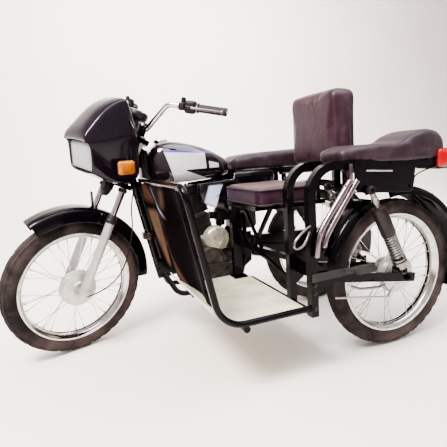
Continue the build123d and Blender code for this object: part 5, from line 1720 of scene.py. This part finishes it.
def seat_pan():
    """The pan under the long carriage seat and the sheet that hangs from its outer edge."""
    outline = (
        (340, -54), (340, 54), (316, 70), (210, 88), (-60, 92), (-110, 76), (-130, 50), (-130, -50),
        (-110, -76), (-60, -92), (210, -88), (316, -70),
    )
    rings = []
    for z, grow in ((760.4, 0.985), (761.6, 1.0), (765.4, 1.0), (766.6, 0.99)):
        rings.append([at(60 + (x - 60) * grow, CARRIAGE_SEAT_Y + y * grow, z) for x, y in outline])
    pan = skin_loft("seat_pan", rings)
    hang = (
        (309, 757), (-282, 757), (-286, 730), (-270, 722), (34, 714), (44, 640), (62, 627), (290, 648),
        (309, 658),
    )
    side = skin_loft(
        "outer_sheet",
        [[at(x, y, z) for x, z in hang] for y in (700.4, 701.2, 702.8, 703.4)],
    )
    lip = wire(
        "rolled_lip",
        [at(-282, 702, 724), at(34, 702, 714), at(46, 702, 634), at(70, 702, 628), at(309, 702, 650)],
        2.6, 2,
    )
    fixings = []
    for x, z in ((290, 745), (150, 738), (-20, 742), (-150, 742), (-260, 742), (60, 650), (290, 664)):
        fixings.append(bolt("sheet_bolt", at(x, 703, z), LEFT, 9, 4))
    trim = rod("trim_strip", at(262, 705, 720), at(146, 705, 711), 3.4, 12)
    fit(smooth(trim, 40), "chassis", FINISHES["chrome"])
    whole = smooth(joined([pan, side, lip, *fixings], "seat_pan_and_side_sheet"), 35)
    return fit(whole, "chassis", FINISHES["enamel"], ["carriage_cover"])


def floor_board():
    """The cream footboard, turned up in front, with its rivets."""
    turns = [math.radians(t) for t in (0, 8, 16, 24, 32, 40, 48, 56, 66)]
    line = [(495, 254.4), (560, 254.4), (640, 254.4), (700, 254.4)]
    line += [(746 + 107.7 * math.sin(t), 362 - 107.7 * math.cos(t)) for t in turns]
    section = [at(x, 150.5, z) for x, z in line]
    sheet = strip("floor_sheet", section, LEFT, 0.524, 3.6)
    held = [sheet]
    for y in (170, 412, 655):
        for x in (515, 600, 690):
            place = at(x, y, 256)
            held.append(rod("rivet", place, place + UP * 2.4 * MM, 6, 14, 3.2))
    whole = smooth(joined(held, "footboard_sheet"), 40)
    return fit(whole, "chassis", FINISHES["board"], ["footboard"])


def hand_levers():
    """A switch pod, a perch and a ball-ended lever in front of each grip."""
    pods, blades = [], []
    for side in (-1, 1):
        end, way = bar_end(side)
        ahead = UP.cross(way).normalized()
        if ahead.x < 0:
            ahead = -ahead
        above = way.cross(ahead).normalized()
        if above.z < 0:
            above = -above
        turn = Matrix((ahead, way, above)).transposed()
        middle = end - way * (118 + 28) * MM
        pods.append(block("switch_pod", middle, (46, 44, 50), 10, turn, 3))
        pods.append(block("perch", end - way * 176 * MM + ahead * 14 * MM, (54, 24, 30), 6, turn))
        boss = end - way * 178 * MM + above * 8 * MM
        pods.append(rod("mirror_boss", boss, boss + above * 26 * MM, 11, 20, 9))
        pods.append(block("choke_lever", middle - ahead * 26 * MM - above * 16 * MM, (26, 10, 8), 3, turn))
        pods.append(block("pod_switch", middle + above * 21 * MM - ahead * 8 * MM, (12, 16, 6), 2, turn))
        pods.append(rod("switch_knob", middle - ahead * 20 * MM, middle - ahead * 27 * MM, 6, 16, 5))
        pods.append(bolt("perch_bolt", end - way * 174 * MM + ahead * 22 * MM + above * 10 * MM, above, 9, 5))
        pivot = end - way * 168 * MM + ahead * 24 * MM
        elbow = end - way * 132 * MM + ahead * 50 * MM
        middle_blade = end - way * 80 * MM + ahead * 50 * MM
        tip = end - way * 12 * MM + ahead * 40 * MM
        blades.append(rod("lever_root", pivot, elbow, 7, 14, 5.6))
        blades.append(rod("lever_blade", elbow, middle_blade, 5.6, 14, 5.0))
        blades.append(rod("lever_end", middle_blade, tip, 5.0, 14, 4.2))
        ball = turned(
            "lever_ball",
            [(-8, 0.4), (-6.6, 4.4), (-3, 7.4), (0, 8), (3, 7.4), (6.6, 4.4), (8, 0.4)],
            tip, way, ahead, 20, closed=False,
        )
        blades.append(ball)
    pod = smooth(joined(pods, "switches_and_perches"), 35)
    blade = smooth(joined(blades, "hand_levers"), 40)
    fit(pod, "steering", FINISHES["plastic"], ["hand_controls"])
    fit(blade, "steering", FINISHES["dull_chrome"], ["hand_controls"])


def instrument():
    """The round speedometer with its post and tell-tales, the looms and the horn below it."""
    centre = on_steer(1062, 62)
    cup = turned(
        "cup",
        [(-1, 0.5), (-1, 20), (2, 34), (8, 42), (16, 45.4), (32, 45.8), (35, 44.6), (35, 40), (32, 39)],
        centre, HEAD_AXIS, LEFT, 48, closed=False,
    )
    dial = turned("dial", [(31, 0.5), (31, 39), (32, 40)], centre, HEAD_AXIS, LEFT, 48, closed=False)
    post = block("instrument_post", on_steer(1036, 61), (10, 44, 56), 2,
                 Matrix((FORE, LEFT, HEAD_AXIS)).transposed())
    lamps = []
    for side in (-1, 1):
        place = on_steer(1050, 40, side * 52)
        lamps.append(rod("tell_tale", place, place + HEAD_AXIS * 12 * MM, 9, 20, 8))
    loom = []
    for side, fore in ((-46, 40), (-34, 30), (38, 34), (50, 24), (60, 40)):
        loom.append(
            wire("taped_loom", [on_steer(1052, 54, side * 0.6), on_steer(1000, fore + 34, side),
                                on_steer(930, fore + 30, side * 1.2), on_steer(838, fore + 6, side * 1.1),
                                on_steer(792, 36, side * 0.8)], 6.5, 2)
        )
    horn = turned(
        "horn", [(0, 0.5), (0, 30), (4, 38), (12, 40), (18, 40), (22, 34), (24, 20), (30, 18), (30, 0.5)],
        on_steer(752, 66, 0), FORE, LEFT, 36, closed=False,
    )
    bracket = block("horn_bracket", on_steer(770, 58, 0), (8, 30, 46), 2,
                    Matrix((FORE, LEFT, HEAD_AXIS)).transposed())
    body = smooth(joined([cup, dial, post, *lamps, *loom, horn, bracket], "speedometer_and_loom"), 35)
    bezel = turned(
        "bezel", [(34, 38), (34, 46), (37.6, 46), (38.6, 44), (38.6, 40), (36, 38)],
        centre, HEAD_AXIS, LEFT, 48,
    )
    pointer = block("pointer", on_steer(1062 + 33, 62 + 10), (2, 1.6, 30), 0,
                    Matrix((HEAD_AXIS, LEFT, FORE)).transposed())
    bright = smooth(joined([bezel, pointer], "bezel_and_pointer"), 35)
    fit(body, "steering", FINISHES["plastic"], ["instrument"])
    fit(bright, "steering", FINISHES["chrome"])


def speedometer_cable():
    """The drive cable, from the front hub up to the speedometer."""
    route = (
        at(WHEELBASE, 61.2, 259.0), at(1150.0, 66.0, 259.0), at(1040.0, 72.0, 330.0),
        at(985.0, 74.0, 520.0),
        on_steer(700, -24, 74), on_steer(800, -8, 66), on_steer(930, 78, 44), on_steer(1061, 72, 30),
    )
    curve = bpy.data.curves.new("speedometer_cable", "CURVE")
    curve.dimensions = "3D"
    spline = curve.splines.new("NURBS")
    spline.points.add(len(route) - 1)
    for point, place in zip(spline.points, route):
        point.co = (*(STEERED @ place), 1.0)
    spline.order_u = 3
    spline.use_endpoint_u = True
    spline.resolution_u = 12
    curve.bevel_depth = 3.0 * MM
    curve.bevel_resolution = 3
    curve.use_fill_caps = True
    piece = bpy.data.objects.new("speedometer_cable", curve)
    bpy.context.scene.collection.objects.link(piece)
    fit(piece, "steering", FINISHES["cable"], ["speedo_cable"])


def rear_guard():
    """The guard over the rear wheel, its two struts, and the blank plate on its holder."""
    held = [guard("rear_mudguard", at(0, 0, TYRE_R), 350, 62, 30, 46, 196)]
    rail = 716
    for x, foot in ((-150, 604), (230, 552)):
        held.append(block("guard_strut", at(x, 0, (foot + rail) / 2), (16, 60, rail - foot), 2))
    held.append(block("plate_holder", at(-314.5, 0, 468), (17, 50, 34), 3))
    plate = skin_loft(
        "number_plate",
        [rounded_ring(at(x, 0, 468), 75, -40, 40, 8, LEFT, UP, 4) for x in (-326, -325.4, -323.6, -323)],
    )
    held.append(plate)
    for side in (-1, 1):
        held.append(bolt("plate_bolt", at(-326, side * 50, 468), -FORWARD, 9, 3))
    whole = smooth(joined(held, "rear_mudguard"), 40)
    return fit(whole, "chassis", FINISHES["enamel"], ["bike_rear_guard"])


def tail_lights():
    """The red lamp behind each seat and the marker on the carriage's side, in black housings."""
    lenses, shells = [], []
    lens = skin_loft(
        "lens",
        [rounded_ring(at(x, 0, 694), half, -high, high, 12, LEFT, UP, 5)
         for x, half, high in ((-236, 54, 33), (-262, 54, 32), (-272, 48, 27), (-277, 30, 16))],
    )
    lenses.append(smooth(lens, 45))
    shells.append(block("lamp_base", at(-206, 0, 702), (60, 60, 26), 6))
    shells.append(
        skin_loft("lamp_cup", [rounded_ring(at(x, 0, 694), half, -high, high, 12, LEFT, UP, 5)
                               for x, half, high in ((-219, 46, 26), (-224, 55, 33.5), (-238, 56, 34.2))])
    )
    far = skin_loft(
        "lens",
        [rounded_ring(at(x, CARRIAGE_SEAT_Y, 727), half, -high, high, 14, LEFT, UP, 5)
         for x, half, high in ((-176, 64, 31), (-212, 64, 31), (-228, 58, 27), (-237, 36, 16))],
    )
    lenses.append(smooth(far, 45))
    shells.append(
        skin_loft("lamp_cup", [rounded_ring(at(x, CARRIAGE_SEAT_Y, 727), half, -high, high, 14, LEFT, UP, 5)
                               for x, half, high in ((-124, 54, 26), (-130, 65, 31.5), (-178, 66, 32.5))])
    )
    marker = skin_loft(
        "marker_lens",
        [rounded_ring(at(-112, y, 741), half, -high, high, 9, FORWARD, UP, 5)
         for y, half, high in ((705, 45, 33), (716, 45, 33), (721, 41, 29), (723, 26, 16))],
    )
    lenses.append(smooth(marker, 45))
    shells.append(
        skin_loft("marker_base", [rounded_ring(at(-112, y, 741), half, -high, high, 10, FORWARD, UP, 5)
                                  for y, half, high in ((703.6, 46, 34), (708, 47, 35), (708.6, 45, 33))])
    )
    lens_piece = joined(lenses, "tail_lamp_lenses")
    shell = smooth(joined(shells, "tail_lamp_housings"), 35)
    fit(lens_piece, "chassis", FINISHES["red"], ["tail_lamps"])
    fit(shell, "chassis", FINISHES["plastic"], ["tail_lamps"])


def frame_trim():
    """The coil cover, tray, looms with their ties, down tube clamp, frame bolts and fuel tap."""
    dark, bright = [], []
    dark.append(block("coil_cover", at(886, 0, 780), (34, 82, 138), 9))
    dark.append(block("horn_box", at(858, 0, 706), (40, 96, 40), 8))
    dark.append(block("tunnel_tray", at(800, 0, 684), (120, 70, 22), 5))
    for side in (-1, 1):
        dark.append(
            wire("head_loom", [at(866, side * 30, 742), at(880, side * 44, 770), at(890, side * 45, 812),
                               at(880, side * 40, 846)], 7.0, 3)
        )
    top, low = at(935, 0, 690), at(866, 0, 300)
    way = (top - low).normalized()
    loom = [
        top + LEFT * 20 * MM, low + way * 0.31 + LEFT * 22 * MM + FORWARD * 6 * MM,
        low + way * 0.22 + LEFT * 21 * MM - FORWARD * 4 * MM, low + way * 0.12 + LEFT * 21 * MM,
        low + way * 0.03 + LEFT * 22 * MM,
    ]
    dark.append(wire("down_tube_loom", loom, 5.0, 2))
    for share in (0.06, 0.13, 0.2, 0.27, 0.34):
        dark.append(block("loom_tie", low + way * share + LEFT * 12 * MM, (20, 34, 5), 1.5))
    clamp = low + way * 0.17
    dark.append(block("clamp_half", clamp, (50, 44, 30), 4))
    for z in (-9, 9):
        bright.append(bolt("clamp_bolt", clamp + LEFT * 22 * MM + UP * z * MM, LEFT, 11, 6))
    for z in (346, 318, 262):
        dark.append(bolt("frame_bolt", at(480, 700.4, z), LEFT, 10, 5))
    bright.append(rod("fuel_tap", at(716, 52, 690), at(716, 52, 640), 7, 16, 6))
    bright.append(block("tap_lever", at(722, 60, 640), (26, 7, 9), 2))
    dark_piece = smooth(joined(dark, "loom_and_ties"), 40)
    bright_piece = smooth(joined(bright, "frame_bolts_and_tap"), 30)
    fit(dark_piece, "chassis", FINISHES["shroud"])
    fit(bright_piece, "chassis", FINISHES["dull_chrome"])


# stage and camera


def camera():
    """The camera where the photograph was taken from."""
    yaw, pitch, roll = math.radians(21.5), math.radians(9.74), math.radians(-3.92)
    ahead = Vector(
        (-math.sin(yaw) * math.cos(pitch), -math.cos(yaw) * math.cos(pitch), -math.sin(pitch))
    )
    right = ahead.cross(UP).normalized()
    above = right.cross(ahead)
    across = right * math.cos(roll) + above * math.sin(roll)
    upward = above * math.cos(roll) - right * math.sin(roll)
    lens = bpy.data.cameras.new("photo_camera")
    lens.sensor_width = 36.0
    lens.lens = 32.78
    lens.clip_end = 50.0
    view = bpy.data.objects.new("photo_camera", lens)
    bpy.context.scene.collection.objects.link(view)
    pose = Matrix((across, upward, -ahead)).transposed().to_4x4()
    pose.translation = at(1243.2, 1828.3, 810.9)
    view.matrix_world = pose
    bpy.context.scene.camera = view
    return view


def lamp_panel(name, place, target, size, power, colour):
    """A flat lamp of a size in metres and a power in watts, turned to its target."""
    light = bpy.data.lights.new(name, "AREA")
    light.shape = "RECTANGLE"
    light.size, light.size_y = size
    light.energy = power
    light.color = colour
    obj = bpy.data.objects.new(name, light)
    bpy.context.scene.collection.objects.link(obj)
    obj.location = place
    obj.rotation_euler = (target - place).to_track_quat("-Z", "Y").to_euler()
    return obj


def stage():
    """A pale floor that meets a pale wall, and soft light."""
    finish, tree, shader, place = finish_of("pale_studio_floor")
    cloud = add_node(tree, "ShaderNodeTexNoise", {"Scale": 1.2, "Detail": 3.0}, {"Vector": place})
    tint = add_node(
        tree, "ShaderNodeMix", {"data_type": "RGBA", 6: linear("#EFE6DC"), 7: linear("#F8F3F0")},
        {0: cloud.outputs["Fac"]},
    )
    tree.links.new(tint.outputs[2], shader.inputs["Base Color"])
    shader.inputs["Roughness"].default_value = 0.75
    bare()
    bpy.ops.mesh.primitive_plane_add(size=30.0, location=(0, 0, 0))
    floor = named(settle(bpy.context.object), "studio_floor")
    edit(floor, "EDGE")
    choose(floor, lambda edge: all(floor.data.vertices[v].co.y < -14 for v in edge.vertices), "edges")
    bpy.ops.mesh.extrude_region_move(TRANSFORM_OT_translate={"value": (0, 0, 12)})
    bare()
    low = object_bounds()[0].z
    floor.data.transform(Matrix.Translation((0, 10.5, low - 0.0008)))
    apply(floor, "BEVEL", width=2.0, segments=8)
    smooth(floor, 60)
    floor.data.materials.append(finish)
    floor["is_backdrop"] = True

    world = bpy.data.worlds.new("pale_room")
    bpy.context.scene.world = world
    world.use_nodes = True
    tree = world.node_tree
    sky = tree.nodes["Background"]
    way = add_node(tree, "ShaderNodeTexCoord").outputs["Generated"]
    split = add_node(tree, "ShaderNodeSeparateXYZ", {}, {"Vector": way})
    height = add_node(
        tree, "ShaderNodeMapRange", {"From Min": 0.02, "From Max": 0.45}, {"Value": split.outputs["Z"]}
    )
    air = add_node(
        tree, "ShaderNodeMix", {"data_type": "RGBA", 6: linear("#8F7D72"), 7: linear("#F4F1F6")},
        {0: height.outputs["Result"]},
    )
    tree.links.new(air.outputs[2], sky.inputs["Color"])
    sky.inputs["Strength"].default_value = 1.0
    bpy.context.scene.view_settings.look = "AgX - Medium High Contrast"
    middle = at(500, 250, 450)
    lamp_panel("sun_side", at(2600, 1500, 3600), middle, (1.2, 1.2), 330, (1.0, 0.96, 0.9))
    lamp_panel("sky_panel", at(0, 1200, 3600), middle, (4.0, 2.5), 160, (0.94, 0.96, 1.0))
    lamp_panel("wall_wash", at(-600, -1500, 3500), at(-800, -4500, 1200), (5.0, 2.0), 330, (1.0, 0.97, 0.96))


# the add-on's settings, operators and panel


class OutfitSizes(bpy.types.PropertyGroup):
    """Sizes that a user would change."""

    tyre_blocks: bpy.props.FloatProperty(
        name="Tread depth",
        description="How far the tread blocks stand out of their grooves",
        default=0.0019, min=0.0005, max=0.004, unit="LENGTH",
    )


class OutfitColours(bpy.types.PropertyGroup):
    """Colours that a user would change."""

    panel: bpy.props.FloatVectorProperty(
        name="Tank panel",
        description="Colour of the pale panel on each side of the tank",
        default=linear("#CFCBD2")[:3], size=3, subtype="COLOR", min=0.0, max=1.0,
    )


class OUTFIT_OT_finishes(bpy.types.Operator):
    """Make every finish and put one on each carried-over part"""

    bl_idname = "outfit.finishes"
    bl_label = "Finishes"

    def execute(self, context):
        FINISHES.update(make_finishes())
        panel = context.scene.outfit_colours.panel
        FINISHES["tank"] = tank_paint((panel[0], panel[1], panel[2], 1.0))
        FINISHES["shield"] = shield_paint()
        FINISHES["side_panel"] = side_panel_paint()
        for name, key in NODE_FINISHES.items():
            node = frame["nodes"][name]
            node.data.materials.clear()
            node.data.materials.append(FINISHES[key])
        return {"FINISHED"}


class OUTFIT_OT_wheels(bpy.types.Operator):
    """Make the three tyres, rims with laced spokes, and hubs"""

    bl_idname = "outfit.wheels"
    bl_label = "Wheels and tyres"

    def execute(self, context):
        tread = context.scene.outfit_sizes.tyre_blocks
        for name, body, centre, drum in ROLLERS:
            tyre(name, body, centre, tread)
            wheel(name, body, centre, drum)
        return {"FINISHED"}


class OUTFIT_OT_front(bpy.types.Operator):
    """Make the visor, lamps, fork seals and grips"""

    bl_idname = "outfit.front"
    bl_label = "Front end"

    def execute(self, context):
        cowl()
        headlamp()
        turn_lamps()
        fork_seals()
        ribbed_grips()
        return {"FINISHED"}


class OUTFIT_OT_tank(bpy.types.Operator):
    """Make the fuel tank and its cap"""

    bl_idname = "outfit.tank"
    bl_label = "Fuel tank"

    def execute(self, context):
        fuel_tank()
        return {"FINISHED"}


class OUTFIT_OT_seats(bpy.types.Operator):
    """Make the two long seats, the cushion and the backrest"""

    bl_idname = "outfit.seats"
    bl_label = "Seats and cushions"

    def execute(self, context):
        seats()
        cushions()
        return {"FINISHED"}


class OUTFIT_OT_springs(bpy.types.Operator):
    """Make the four spring units"""

    bl_idname = "outfit.springs"
    bl_label = "Spring units"

    def execute(self, context):
        springs()
        return {"FINISHED"}


class OUTFIT_OT_guards(bpy.types.Operator):
    """Make the mudguards"""

    bl_idname = "outfit.guards"
    bl_label = "Mudguards"

    def execute(self, context):
        mudguards()
        return {"FINISHED"}


class OUTFIT_OT_engine(bpy.types.Operator):
    """Make the barrel, crankcase covers, carburettor and side panels"""

    bl_idname = "outfit.engine"
    bl_label = "Engine and side panels"

    def execute(self, context):
        finned_barrel()
        generator_cover()
        crankcase()
        intake()
        side_panels()
        return {"FINISHED"}


class OUTFIT_OT_sheets(bpy.types.Operator):
    """Make the leg shield, footboard, seat pan, rear mudguard and tail lamps"""

    bl_idname = "outfit.sheets"
    bl_label = "Sheet metal and tail lamps"

    def execute(self, context):
        leg_shield()
        floor_board()
        seat_pan()
        rear_guard()
        tail_lights()
        return {"FINISHED"}


class OUTFIT_OT_fittings(bpy.types.Operator):
    """Make the hand levers, speedometer, its cable, the bright stays and the bolts"""

    bl_idname = "outfit.fittings"
    bl_label = "Fittings"

    def execute(self, context):
        hand_levers()
        instrument()
        speedometer_cable()
        grab_stays()
        folded_peg()
        frame_trim()
        return {"FINISHED"}


class OUTFIT_OT_stage(bpy.types.Operator):
    """Make the floor, the light and the camera"""

    bl_idname = "outfit.stage"
    bl_label = "Stage"

    def execute(self, context):
        camera()
        stage()
        return {"FINISHED"}


STEPS = (
    OUTFIT_OT_stage,
    OUTFIT_OT_finishes,
    OUTFIT_OT_wheels,
    OUTFIT_OT_front,
    OUTFIT_OT_tank,
    OUTFIT_OT_seats,
    OUTFIT_OT_springs,
    OUTFIT_OT_guards,
    OUTFIT_OT_engine,
    OUTFIT_OT_sheets,
    OUTFIT_OT_fittings,
)


class OUTFIT_PT_panel(bpy.types.Panel):
    """The outfit's pieces, in the order in which they are made"""

    bl_idname = "OUTFIT_PT_panel"
    bl_label = "Motorcycle outfit"
    bl_space_type = "VIEW_3D"
    bl_region_type = "UI"
    bl_category = "Outfit"

    def draw(self, context):
        for step in STEPS:
            self.layout.operator(step.bl_idname)


CLASSES = (OutfitSizes, OutfitColours, *STEPS, OUTFIT_PT_panel)


def register():
    for kind in CLASSES:
        bpy.utils.register_class(kind)
    bpy.types.Scene.outfit_sizes = bpy.props.PointerProperty(type=OutfitSizes)
    bpy.types.Scene.outfit_colours = bpy.props.PointerProperty(type=OutfitColours)


def unregister():
    del bpy.types.Scene.outfit_sizes
    del bpy.types.Scene.outfit_colours
    for kind in reversed(CLASSES):
        bpy.utils.unregister_class(kind)


def main():
    register()
    for step in STEPS:
        group, call = step.bl_idname.split(".")
        getattr(getattr(bpy.ops, group), call)()


if __name__ == "__main__":
    main()
